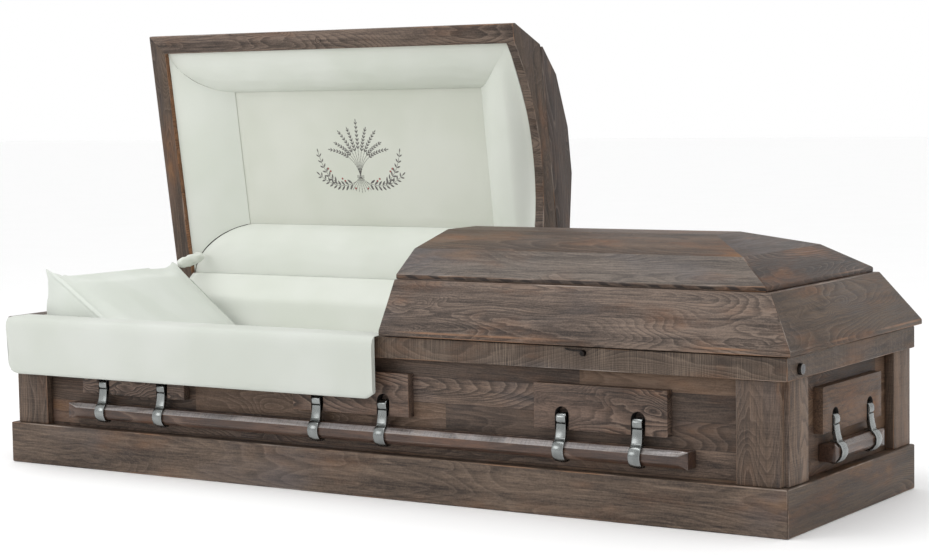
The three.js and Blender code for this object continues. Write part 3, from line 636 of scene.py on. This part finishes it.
def make_knobs(bronze):
    # The foot knob's cap: grey steel with a painted highlight on its eased rim.
    steel = dark_bronze("steel_cap_rim_highlight", (86, 87, 89), (112, 112, 113), 0.8)
    for node in ("lock_knob_front", "lock_knob_foot"):
        bm = eased_copy(node, 0.0007, 25.0)
        bm.normal_update()
        # On the foot knob only the faces turned to the foot take the steel; its sides stay dark bronze as
        # painted shade.
        for face in bm.faces:
            face.material_index = 1 if face.normal.x > 0.55 and node == "lock_knob_foot" else 0
        make_piece(f"{node}_turned", bm, [bronze, steel], "casket", (node,))


def make_hinges(bronze):
    """Two long hinges: a barrel of knuckles on the hinge line and a flat leaf on the back rail."""
    radius = 0.0034
    for node in ("head_hinge", "foot_hinge"):
        low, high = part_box(node)
        bm = bmesh.new()
        length = high.x - low.x
        centre = Matrix.Translation(((low.x + high.x) / 2, HINGE.y, HINGE.z))
        bmesh.ops.create_cone(bm, cap_ends=True, segments=20, radius1=radius, radius2=radius, depth=length,
                              matrix=centre @ Matrix.Rotation(math.pi / 2, 4, "Y"))
        knuckles = 24
        for n in range(1, knuckles):
            cut = Vector((lerp(low.x, high.x, n / knuckles), 0, 0))
            geom = bm.verts[:] + bm.edges[:] + bm.faces[:]
            bmesh.ops.bisect_plane(bm, geom=geom, plane_co=cut, plane_no=(1, 0, 0))
        for v in bm.verts:
            share = (v.co.x - low.x) / length * knuckles
            if 0.5 < share < knuckles - 0.5 and abs(share - round(share)) < 0.01 and round(share) % 2:
                v.co.y = HINGE.y + (v.co.y - HINGE.y) * 0.86
                v.co.z = HINGE.z + (v.co.z - HINGE.z) * 0.86
        plate = bmesh.ops.create_cube(bm, size=1.0)
        middle = Matrix.Translation(((low.x + high.x) / 2, 0.334, 0.3696))
        size = Matrix.Diagonal((length, 0.044, 0.0006, 1.0))
        bmesh.ops.transform(bm, matrix=middle @ size, verts=plate["verts"])
        make_piece(f"{node}_leaf", bm, [bronze], "casket", (node,))


def make_keeper_cup(bronze):
    """The small cup of the lock in the head lid's front rail."""
    bm = bmesh.new()
    keeper = HINGE + Vector((-0.514, -0.686, 0.0))
    spot = Matrix.Translation(keeper + Vector((0.0, 0.0, 0.0004)))
    bmesh.ops.create_cone(bm, cap_ends=True, segments=24, radius1=0.0085, radius2=0.0095, depth=0.0016,
                          matrix=spot)
    bottom = [f for f in bm.faces if f.normal.z < -0.9]
    bmesh.ops.inset_region(bm, faces=bottom, thickness=0.0022, depth=0.0)
    bottom = [f for f in bm.faces if f.normal.z < -0.9 and len(f.verts) > 4]
    bmesh.ops.translate(bm, verts=list({v for f in bottom for v in f.verts}), vec=(0, 0, 0.0009))
    make_piece("lid_keeper_cup", bm, [bronze], "head_lid", (), 30.0, OPENED)


def strip(cells_along, cells_across, shape):
    """A sheet of cloth as a grid, with shape(u, t) giving the place of each point."""
    bm = bmesh.new()
    bmesh.ops.create_grid(bm, x_segments=cells_along, y_segments=cells_across, size=0.5)
    for v in bm.verts:
        v.co = shape(v.co.x + 0.5, v.co.y + 0.5)
    return bm


def thicken(bm, thickness, away):
    """Gives a cloth grid a back face on the side that away(centre) points to."""
    bm.normal_update()
    middle = max(bm.faces, key=lambda f: f.calc_area())
    if middle.normal.dot(away(middle.calc_center_median())) > 0:
        bmesh.ops.reverse_faces(bm, faces=bm.faces)
    bmesh.ops.solidify(bm, geom=bm.faces, thickness=thickness)
    bmesh.ops.recalc_face_normals(bm, faces=bm.faces)


def crease(x, y, size, depth):
    """A soft unevenness of the cloth, the same on every run."""
    return depth * noise.noise(Vector((x / size, y / size, 3.7)))


def roll_section(t, y_rim, y_panel, fullness):
    """The cross section of a padded roll, from a straight slope at 0 to a quarter round at 1."""
    angle = t * math.pi / 2
    y = lerp(y_rim, y_panel, lerp(t, math.sin(angle), fullness))
    z = lerp(RIM_Z, PANEL_Z, lerp(t, 1 - math.cos(angle), fullness))
    return y, z


def panel_level(x, y):
    """The height of the middle panel's face, with the soft unevenness of the cloth."""
    return PANEL_Z - 0.0015 + crease(x, y, 0.16, 0.0009)


def make_lid_lining(lid, side, split, turn, cloth, panel_cloth):
    """The padded lining of one lid: two long rolls, the hip and split sides and the flat middle panel."""
    front_full = 0.72
    back_full = 0.80
    seam = 0.0011
    panel_split = split + side * SPLIT_REACH
    rim_hip = side * HIP_RIM_X
    panel_hip = side * HIP_PANEL_X

    def hip_x(z):
        return lerp(rim_hip, panel_hip, (z - RIM_Z) / (PANEL_Z - RIM_Z))

    def split_x(t):
        return lerp(split, panel_split, t ** 0.9)

    def long_roll(sign, fullness):
        def shape(u, t):
            y, z = roll_section(t, sign * RIM_Y, sign * PANEL_Y, fullness)
            gap = side * seam * (1.0 if sign > 0 else 0.15)
            x = lerp(hip_x(z) - gap, split_x(t) + gap, u)
            end = smooth(0.0, 0.025, u) * smooth(0.0, 0.025, 1 - u) if sign > 0 else 1.0
            pull = crease(x, t * 0.4, 0.05, 0.0013) * math.sin(math.pi * t)
            return Vector((x, y - sign * (pull - 0.0016 * (1 - end)), z - pull + 0.0012 * (1 - end)))
        return shape

    def between_rolls(u, t):
        front = roll_section(t, -RIM_Y, -PANEL_Y, front_full)
        back = roll_section(t, RIM_Y, PANEL_Y, back_full)
        return lerp(front[0], back[0], u), lerp(front[1], back[1], u)

    def hip_side(u, t):
        y, z = between_rolls(u, t)
        ease = math.sin(math.pi * t) * math.sin(math.pi * u) ** 0.4
        pad = (0.003 + crease(y, t * 0.3, 0.07, 0.0014)) * ease
        return Vector((hip_x(z) - side * pad, y, z - pad))

    def arch(y):
        radius = (ARCH_HALF_CHORD ** 2 + ARCH_RISE ** 2) / (2 * ARCH_RISE)
        return math.sqrt(max(radius ** 2 - y * y, 0.0)) - (radius - ARCH_RISE)

    def split_side(u, t):
        y, z = between_rolls(u, t)
        ridge = 0.30
        if t < ridge:
            lift = lerp(1.0, 0.22, smooth(0.0, ridge, t))
            swell = 0.0
        else:
            run = (t - ridge) / (1 - ridge)
            lift = 0.22 * (1 - run) ** 1.4
            swell = 0.012 * math.sin(math.pi * run) * math.sin(math.pi * u) ** 0.5
        rise = lift * max(arch(y) - 0.010, 0.0) * math.sin(math.pi * u) ** 0.25
        return Vector((split_x(t) + side * 0.4 * swell, y, z + rise - swell))

    def panel(u, t):
        under = 0.010
        x = lerp(panel_hip + side * under, panel_split - side * under, u)
        y = lerp(-PANEL_Y - under, PANEL_Y + under, t)
        edge = min(u * 0.788, (1 - u) * 0.788, t * 0.364, (1 - t) * 0.364)
        tuck = 0.0035 * (1 - smooth(0.006, 0.030, edge))
        return Vector((x, y, panel_level(x, y) + tuck))

    def behind(centre):
        return Vector((0.0, 0.0, 1.0))

    parts = (
        ("front_roll", 96, 18, long_roll(-1, front_full), 0.006),
        ("back_roll", 96, 20, long_roll(1, back_full), 0.006),
        ("hip_side", 48, 16, hip_side, 0.006),
        ("split_side", 56, 24, split_side, 0.005),
        ("panel", 72, 40, panel, 0.003),
    )
    for part, along, across, shape, thickness in parts:
        bm = strip(along, across, shape)
        thicken(bm, thickness, behind)
        replaced = (f"{lid}_lining",) if part == "panel" else ()
        stuff = panel_cloth if part == "panel" else cloth
        piece = make_piece(f"{lid}_{part}", bm, [stuff], lid, replaced, 50.0, turn)


def path_strip(path, start_x, end_x, cells):
    """A strip of cloth that follows a path of (y, z) points and runs along the casket."""
    bm = bmesh.new()
    row = [bm.verts.new((start_x, y, z)) for y, z in path]
    geom = [bm.edges.new(pair) for pair in zip(row, row[1:])]
    draw_along(bm, geom, end_x - start_x, cells)
    bmesh.ops.recalc_face_normals(bm, faces=bm.faces)
    return bm


def make_hinge_cloths(cloth):
    """The cloths that hide the back rail and the hinges, from the mattress up to each lid's own lining."""
    wall = [(0.2792, lerp(0.256, 0.350, n / 8)) for n in range(9)]
    hang = [(0.2660, 0.2560), (0.2664, 0.2720), (0.2674, 0.2880), (0.2690, 0.3030), (0.2710, 0.3170),
            (0.2733, 0.3300), (0.2750, 0.3420), (0.2764, 0.3520)]
    slope = [(0.2778, 0.3605), (0.2800, 0.3680), (0.2842, 0.3750), (0.2910, 0.3815), (0.3000, 0.3887),
             (0.3100, 0.3964), (0.3200, 0.4034), (0.3300, 0.4102), (0.3390, 0.4164), (0.3458, 0.4214)]
    up_lid = [(0.0528, -0.0006), (0.0540, 0.0010), (0.0544, 0.006), (0.0544, 0.013)]
    placed = [OPENED @ (HINGE + Vector((0.0, -s, h))) for s, h in up_lid]
    head = hang + slope + [(p.y, p.z) for p in placed]
    over = [(0.2792, 0.360), (0.2800, 0.3665), (0.2832, 0.3695), (0.2880, 0.3704)]
    runs = [(lerp(0.294, 0.338, n / 8), 0.3704) for n in range(9)]
    fold = [(0.3440, 0.3704), (0.3466, 0.3706), (0.3473, 0.3710), (0.3466, 0.3714), (0.3440, 0.3716)]
    back = [(lerp(0.338, 0.306, n / 6), 0.3716) for n in range(7)]
    back += [(0.3042, 0.3726), (0.3040, 0.379), (0.3040, 0.385)]
    foot = wall + over + runs + fold + back
    for lid, path, start_x, end_x, start, end in (
            ("head_lid", head, -1.004, 0.046, (0, 0.292, 0.378), (0, 0.353, 0.430)),
            ("foot_lid", foot, 0.110, 1.004, (0, 0.340, 0.3705), (0, 0.340, 0.3714))):
        bm = path_strip(path, start_x, end_x, 60)
        for v in bm.verts:
            if lid == "head_lid" and v.co.z > 0.372:
                lid_share = smooth(0.372, 0.415, v.co.z)
                v.co.x -= 0.022 * lid_share * (v.co.x - end_x) / (start_x - end_x)
                v.co.y += crease(v.co.x, v.co.z, 0.09, 0.0016) * (1 - lid_share)
        area = sum(f.calc_area() for f in bm.faces)
        bmesh.ops.solidify(bm, geom=bm.faces, thickness=0.0004)
        bmesh.ops.recalc_face_normals(bm, faces=bm.faces)
        mesh = bpy.data.meshes.new(f"{lid}_hinge_cloth")
        bm.to_mesh(mesh)
        bm.free()
        mesh.materials.append(cloth)
        mesh.shade_smooth()
        piece = bpy.data.objects.new(f"{lid}_hinge_cloth", mesh)
        scene.collection.objects.link(piece)
        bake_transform(piece)
        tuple(start)
        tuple(end)


def stitch_leaf(bm, place, angle, length, width):
    """One satin-stitched leaf or grain, a flat pointed pad on the face of the panel."""
    spot = Matrix.Translation((place.x, place.y, panel_level(place.x, place.y)))
    turn = Matrix.Rotation(angle, 4, "Z")
    size = Matrix.Diagonal((length / 2, width / 2, 0.0007, 1.0))
    made = bmesh.ops.create_uvsphere(bm, u_segments=8, v_segments=4, radius=1.0)
    for v in made["verts"]:
        v.co.y *= max(1 - abs(v.co.x) ** 2.2, 0.05) ** 0.4
    bmesh.ops.transform(bm, matrix=spot @ turn @ size, verts=made["verts"])


def stitch_stem(bm, points, width):
    """A thin raised line of stitches through the points."""
    for a, b in zip(points, points[1:]):
        middle = (a + b) / 2
        run = b - a
        stitch_leaf(bm, middle, math.atan2(run.y, run.x), run.length * 1.35, width)


def make_embroidery(centre_x, dark, red):
    """A tied sheaf of wheat between two leaf sprigs with a few berries, sewn on the head panel."""
    stems = bmesh.new()
    berries = bmesh.new()

    def curve(start, control, end, count):
        for n in range(count + 1):
            t = n / count
            point = start * (1 - t) ** 2 + control * 2 * t * (1 - t) + end * t * t
            yield Vector((centre_x + point.x, point.y))

    def sprig(path, first, long, broad, lean, thread):
        stitch_stem(stems, path, thread)
        for n in range(first, len(path) - 1):
            run = path[n + 1] - path[n]
            heading = math.atan2(run.y, run.x)
            fade = lerp(1.1, 0.65, n / len(path))
            for turn in (-lean, lean):
                away = Vector((math.cos(heading + turn), math.sin(heading + turn)))
                spot = path[n] + away * long * 0.55 * fade
                stitch_leaf(stems, spot, heading + turn, long * fade, broad * fade)
        stitch_leaf(stems, path[-1], heading, long * 0.8, broad * 0.7)

    tie = Vector((0.0, 0.048))
    for n in range(9):
        swing = (n - 4) / 4
        reach = lerp(0.150, 0.118, abs(swing)) - 0.010 * (n % 2)
        angle = math.radians(-90 + 52 * swing)
        tip = tie + Vector((math.cos(angle), math.sin(angle))) * reach
        control = tie + Vector((0.012 * swing, -0.062))
        sprig(list(curve(tie, control, tip, 15)), 8, 0.0125, 0.0040, 0.5, 0.0011)
        butt = tie + Vector((-0.040 * swing, 0.044 - 0.010 * abs(swing)))
        stitch_stem(stems, list(curve(tie, (tie + butt) / 2, butt, 6)), 0.0011)
    for n in range(3):
        level = 0.045 + 0.003 * n
        bow = list(curve(Vector((-0.011, level)), Vector((0.0, level + 0.003)), Vector((0.011, level)), 6))
        stitch_stem(stems, bow, 0.0015)
    for hand in (-1, 1):
        low_path = list(curve(Vector((hand * 0.016, 0.062)), Vector((hand * 0.080, 0.092)),
                              Vector((hand * 0.138, 0.040)), 10))
        sprig(low_path, 1, 0.0170, 0.0060, 0.85, 0.0012)
        high_path = list(curve(Vector((hand * 0.070, 0.070)), Vector((hand * 0.118, 0.050)),
                               Vector((hand * 0.132, -0.022)), 8))
        sprig(high_path, 1, 0.0150, 0.0052, 0.8, 0.0011)
        spots = ((0.052, 0.060), (0.060, 0.054), (0.096, 0.034), (0.103, 0.027), (0.020, 0.080))
        for n, (x, y) in enumerate(spots):
            stitch_leaf(berries, Vector((centre_x + hand * x, y)), 0.4 * n, 0.0066, 0.0062)
    make_piece("panel_sheaf", stems, [dark], "head_lid", (), 60.0, OPENED)
    make_piece("panel_berries", berries, [red], "head_lid", (), 60.0, OPENED)


# A point of a swollen piece may move inwards by this share of its cap, and the moves are evened this often.
INWARD_SHARE = 0.12
SWELL_EASING = 24


def puffed(piece, voxel, cap, pressure=4.0, frames=20):
    """Swells a closed soft piece with a short cloth run. Points stay near their start, at corners too."""
    view = bpy.context.view_layer
    view.objects.active = piece
    remesh = piece.modifiers.new("even", "REMESH")
    remesh.mode = "VOXEL"
    remesh.voxel_size = voxel
    with bpy.context.temp_override(object=piece, active_object=piece):
        bpy.ops.object.modifier_apply(modifier=remesh.name)
    start = [(v.co.copy(), v.normal.copy()) for v in piece.data.vertices]
    cloth = piece.modifiers.new("swell", "CLOTH")
    cloth.settings.use_pressure = True
    cloth.settings.uniform_pressure_force = pressure
    cloth.settings.quality = 4
    cloth.settings.effector_weights.gravity = 0.0
    cloth.collision_settings.use_collision = False
    cloth.point_cache.frame_end = frames
    for step in range(1, frames + 1):
        scene.frame_set(step)
    with bpy.context.temp_override(object=piece, active_object=piece):
        bpy.ops.object.modifier_apply(modifier=cloth.name)
    scene.frame_set(1)
    moves = numpy.zeros((len(start), 3))
    for n, (v, (first, outward)) in enumerate(zip(piece.data.vertices, start)):
        move = v.co - first
        most = cap if move.dot(outward) > 0.0 else cap * INWARD_SHARE
        moves[n] = move.normalized() * min(move.length, most)
    ends = numpy.array([tuple(edge.vertices) for edge in piece.data.edges])
    share = 1.0 / (1.0 + numpy.bincount(ends.ravel(), minlength=len(start)))[:, None]
    for step in range(SWELL_EASING):
        total = moves.copy()
        numpy.add.at(total, ends[:, 0], moves[ends[:, 1]])
        numpy.add.at(total, ends[:, 1], moves[ends[:, 0]])
        moves = total * share
    for v, (first, outward), move in zip(piece.data.vertices, start, moves):
        v.co = first + Vector(move)
    piece.data.shade_smooth()


# Each station across the pillow gives y, the ridge as (x, z), and the x of the low edge.
PILLOW_BASE = 0.2560
PILLOW_HEAD_END = ((-0.999, 0.2560), (-1.000, 0.3550), (-1.007, 0.3790))
PILLOW_STATIONS = (
    (-0.265, Vector((-0.991, 0.4820)), -0.674),
    (-0.252, Vector((-0.990, 0.4740)), -0.675),
    (-0.225, Vector((-0.989, 0.4690)), -0.678),
    (-0.100, Vector((-0.989, 0.4670)), -0.690),
    (0.050, Vector((-0.989, 0.4660)), -0.717),
    (0.160, Vector((-0.990, 0.4610)), -0.738),
    (0.246, Vector((-0.993, 0.4580)), -0.748),
)
PILLOW_TIPS = (Vector((-0.996, -0.270, 0.485)), Vector((-1.002, 0.2335, 0.466)))
PILLOW_TIP_REACH = 0.06


def pillow_squash(piece):
    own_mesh(piece)


def make_pillow(cloth):
    """The wedge pillow: a sloping top, pointed corners and a triangular gusset with a welt at each side."""
    bm = bmesh.new()
    rings = []
    for y, tip, nose in PILLOW_STATIONS:
        outline = [(nose, PILLOW_BASE), (nose, PILLOW_BASE + 0.012), tuple(tip), *reversed(PILLOW_HEAD_END)]
        corners = [bm.verts.new((x, y, z)) for x, z in outline]
        rings.append([bm.edges.new((corners[n - 1], corners[n])) for n in range(len(corners))])
    for ring, following in zip(rings, rings[1:]):
        bmesh.ops.bridge_loops(bm, edges=ring + following)
    for ring in (rings[0], rings[-1]):
        bmesh.ops.edgeloop_fill(bm, edges=ring)
    bmesh.ops.recalc_face_normals(bm, faces=bm.faces)
    pillow = make_piece("wedge_pillow", bm, [cloth], "casket", ("pillow",), 80.0)
    puffed(pillow, 0.0065, 0.018)
    for v in pillow.data.vertices:
        v.co.z = max(v.co.z, 0.2512)
        v.co.x = min(max(v.co.x, lerp(-1.0045, -1.013, smooth(0.366, 0.380, v.co.z))), -0.610)
        v.co.y = min(max(v.co.y, -0.2785), 0.2560)
    for tip in PILLOW_TIPS:
        toward = Vector((-1.0, math.copysign(1.0, tip.y), 1.0))
        corner = max((v.co for v in pillow.data.vertices), key=toward.dot).copy()
        for v in pillow.data.vertices:
            near = 1.0 - (v.co - corner).length / PILLOW_TIP_REACH
            if near > 0.0:
                v.co += (tip - corner) * near * near
    for v in pillow.data.vertices:
        clear_of_sleeve = lerp(0.2340, 0.2560, smooth(-0.962, -0.890, v.co.x))
        v.co.y = min(v.co.y, clear_of_sleeve)
    pillow_squash(pillow)
    for name, station, outward, start in (("front", PILLOW_STATIONS[0], -1, 0.03),
                                          ("back", PILLOW_STATIONS[-1], 1, 0.16)):
        make_welt(pillow, f"pillow_welt_{name}", station, outward, start, cloth)


def make_welt(pillow, name, station, outward, start, cloth):
    """The flat corded welt along one sloping edge of the pillow, laid on the swollen surface."""
    y, tip, nose = station
    top = Vector((tip.x, y, tip.y))
    foot = Vector((nose, y, PILLOW_BASE + 0.012))
    run = (foot - top).normalized()
    out = (Vector((-run.z, 0, run.x)).normalized() + Vector((0, outward, 0))).normalized()
    if out.z < 0:
        out = Vector((-out.x, out.y, -out.z))
    side = run.cross(out)

    def shape(u, t):
        probe = top.lerp(foot, lerp(start, 0.97, u)) + out * 0.04
        found, spot, normal, index = pillow.closest_point_on_mesh(probe)
        turn = t * 2 * math.pi
        ends = min(1.0, 12 * u, 12 * (1 - u)) ** 0.5
        return spot + (side * 0.0055 * math.cos(turn) + out * 0.0012 * math.sin(turn)) * ends

    bm = strip(60, 12, shape)
    bmesh.ops.remove_doubles(bm, verts=bm.verts, dist=1e-5)
    bmesh.ops.recalc_face_normals(bm, faces=bm.faces)
    welt = make_piece(name, bm, [cloth], "casket", (), 80.0)
    pillow_squash(welt)


def make_mattress(cloth):
    low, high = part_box("mattress")
    bm = bmesh.new()
    bmesh.ops.create_cube(bm, size=1.0)
    middle = (low + high) / 2
    size = high - low - Vector((0.016, 0.016, 0.014))
    place = Matrix.Translation(middle) @ Matrix.Diagonal((*size, 1.0))
    bmesh.ops.transform(bm, matrix=place, verts=bm.verts)
    bmesh.ops.bevel(bm, geom=list(bm.edges), offset=0.03, offset_type="OFFSET", segments=3, affect="EDGES",
                    profile=0.5, material=-1, clamp_overlap=True)
    mattress = make_piece("mattress_tick", bm, [cloth], "casket", ("mattress",), 80.0)
    puffed(mattress, 0.016, 0.006)
    for v in mattress.data.vertices:
        for axis in range(3):
            v.co[axis] = min(max(v.co[axis], low[axis] + 0.0004), high[axis] - 0.0004)


def make_wall_lining(cloth):
    """Quilted cloth on the four inner walls, from the bottom board to just under the rim."""
    low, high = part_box("body_lining")
    thickness = 0.007
    front_y = low.y + 0.008
    back_y = high.y - 0.008
    walls = (
        ("back", Vector((low.x, high.y, 0)), Vector((high.x, high.y, 0)), Vector((0, -1, 0))),
        ("front", Vector((low.x, low.y, 0)), Vector((high.x, low.y, 0)), Vector((0, 1, 0))),
        ("foot", Vector((high.x, front_y, 0)), Vector((high.x, back_y, 0)), Vector((-1, 0, 0))),
        ("head", Vector((low.x, front_y, 0)), Vector((low.x, back_y, 0)), Vector((1, 0, 0))),
    )
    for name, start, end, inward in walls:
        def shape(u, t, start=start, end=end, inward=inward):
            base = start.lerp(end, u)
            z = lerp(low.z, high.z, t)
            crown = 0.0055 * math.sin(math.pi * t) ** 0.5
            fold = crease(base.x + base.y, z * 0.4, 0.07, 0.0012)
            point = base + inward * (thickness + crown * 0.2 + fold)
            return Vector((point.x, point.y, z))

        def behind(centre, inward=inward):
            return -inward

        bm = strip(140 if name in ("front", "back") else 48, 18, shape)
        thicken(bm, thickness - 0.002, behind)
        replaced = ("body_lining",) if name == "back" else ()
        piece = make_piece(f"wall_lining_{name}", bm, [cloth], "casket", replaced, 50.0)


def make_apron(cloth):
    """The padded front flap, turned out over the rail and hanging down the front."""
    low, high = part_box("apron")
    section = [(-0.2915, 0.3695), (-0.330, 0.3695), (-0.3575, 0.3695)]
    section += [(-0.3585, z) for z in (0.366, 0.350, 0.325, 0.300, 0.275, 0.250, 0.236)]
    section += [(-0.3595, 0.2305), (-0.3640, 0.2292), (-0.3690, 0.2310), (-0.3712, 0.2370)]
    section += [(-0.3718, z) for z in (0.250, 0.275, 0.300, 0.325, 0.340)]
    section += [(-0.3712, 0.3490), (-0.3697, 0.3570), (-0.3668, 0.3638), (-0.3622, 0.3684)]
    section += [(-0.3560, 0.3706), (-0.3480, 0.3713), (-0.330, 0.3713), (-0.2915, 0.3713)]
    around = len(section)
    bm = bmesh.new()
    ring = [bm.verts.new((low.x, y, z)) for y, z in section]
    edges = [bm.edges.new((ring[n], ring[(n + 1) % around])) for n in range(around)]
    draw_along(bm, edges, high.x - low.x, 130)
    bmesh.ops.holes_fill(bm, edges=bm.edges, sides=0)
    bmesh.ops.recalc_face_normals(bm, faces=bm.faces)
    for v in bm.verts:
        x, y, z = v.co
        if y < -0.3572:
            hang = smooth(0.36, 0.23, z)
            wave = crease(x, z * 0.5, 0.12, 0.0022) + crease(x, z * 0.7, 0.05, 0.0009)
            v.co.y = y + wave * hang * (1.0 if y < -0.365 else 0.4)
            from_left = x - low.x
            from_right = high.x - x
            if from_left < 0.03:
                near = 1 - from_left / 0.03
                v.co.z += 0.020 * (1 - math.sqrt(max(1 - near ** 2, 0))) * smooth(0.30, 0.23, z)
                v.co.x += 0.004 * math.sin((z - 0.23) * 38.0) * near
            if from_right < 0.02:
                v.co.z += 0.012 * (1 - from_right / 0.02) * smooth(0.26, 0.23, z)
    apron = make_piece("apron_flap", bm, [cloth], "casket", ("apron",), 70.0)


def make_stay_sleeve(cloth):
    """The crumpled cloth sleeve over the lid stay."""
    length = 0.104

    def shape(u, t):
        angle = t * 2 * math.pi
        z = -length * u
        radius = 0.0142 * (1 - (2 * abs(u - 0.5)) ** 6) ** 0.5 if 0 < u < 1 else 0.0
        crumple = 1 + 0.22 * noise.noise(Vector((2.2 * math.cos(angle), 2.2 * math.sin(angle), u * 5.0)))
        crumple += 0.07 * math.cos(3 * angle + 4 * u)
        bow = 0.004 * math.sin(math.pi * u)
        return Vector((radius * crumple * math.cos(angle) + bow, radius * crumple * math.sin(angle), z))

    bm = strip(36, 28, shape)
    bmesh.ops.remove_doubles(bm, verts=bm.verts, dist=1e-5)
    bmesh.ops.recalc_face_normals(bm, faces=bm.faces)
    bmesh.ops.translate(bm, verts=bm.verts, vec=(-0.992, 0.2545, 0.381))
    sleeve = make_piece("lid_stay_sleeve_cloth", bm, [cloth], "head_lid",
                        ("lid_stay_sleeve",), 70.0, OPENED)


def make_floor():
    s = Shader("studio_floor")
    grain = s.clouds(s.place(), 3.0, 2.0)
    base = s.blend(grain, colour(253, 253, 253), colour(250, 250, 250))
    s.finish(base, s.range(grain, 0.0, 1.0, 0.6, 0.7), grain, 0.02, 0.001)
    bm = bmesh.new()
    bmesh.ops.create_grid(bm, x_segments=2, y_segments=2, size=30.0)
    bmesh.ops.translate(bm, verts=bm.verts, vec=(0, 0, -0.0005))
    mesh = bpy.data.meshes.new("studio_floor")
    bm.to_mesh(mesh)
    bm.free()
    mesh.materials.append(s.material)
    floor = bpy.data.objects.new("studio_floor", mesh)
    scene.collection.objects.link(floor)


set_camera()
set_lights()
make_floor()
make_case()
make_lids()
make_handles()
dark_metal = dark_bronze()
make_knobs(dark_metal)
make_hinges(dark_metal)
make_keeper_cup(dark_metal)
ivory = lining_cloth("ivory_lining")
padding = lining_cloth("ivory_padding", (215, 218, 211))
bedding = lining_cloth("ivory_bedding", (209, 213, 207))
make_lid_lining("head_lid", -1, 0.051, OPENED, padding, ivory)
make_lid_lining("foot_lid", 1, 0.104, None, padding, ivory)
grey_thread = sewing_thread("grey_thread", (74, 72, 70))
red_thread = sewing_thread("red_thread", (122, 52, 46))
make_embroidery(-0.495, grey_thread, red_thread)
make_wall_lining(ivory)
make_hinge_cloths(padding)
make_mattress(ivory)
make_pillow(bedding)
make_apron(lining_cloth("ivory_apron", (196, 199, 193)))
make_stay_sleeve(padding)
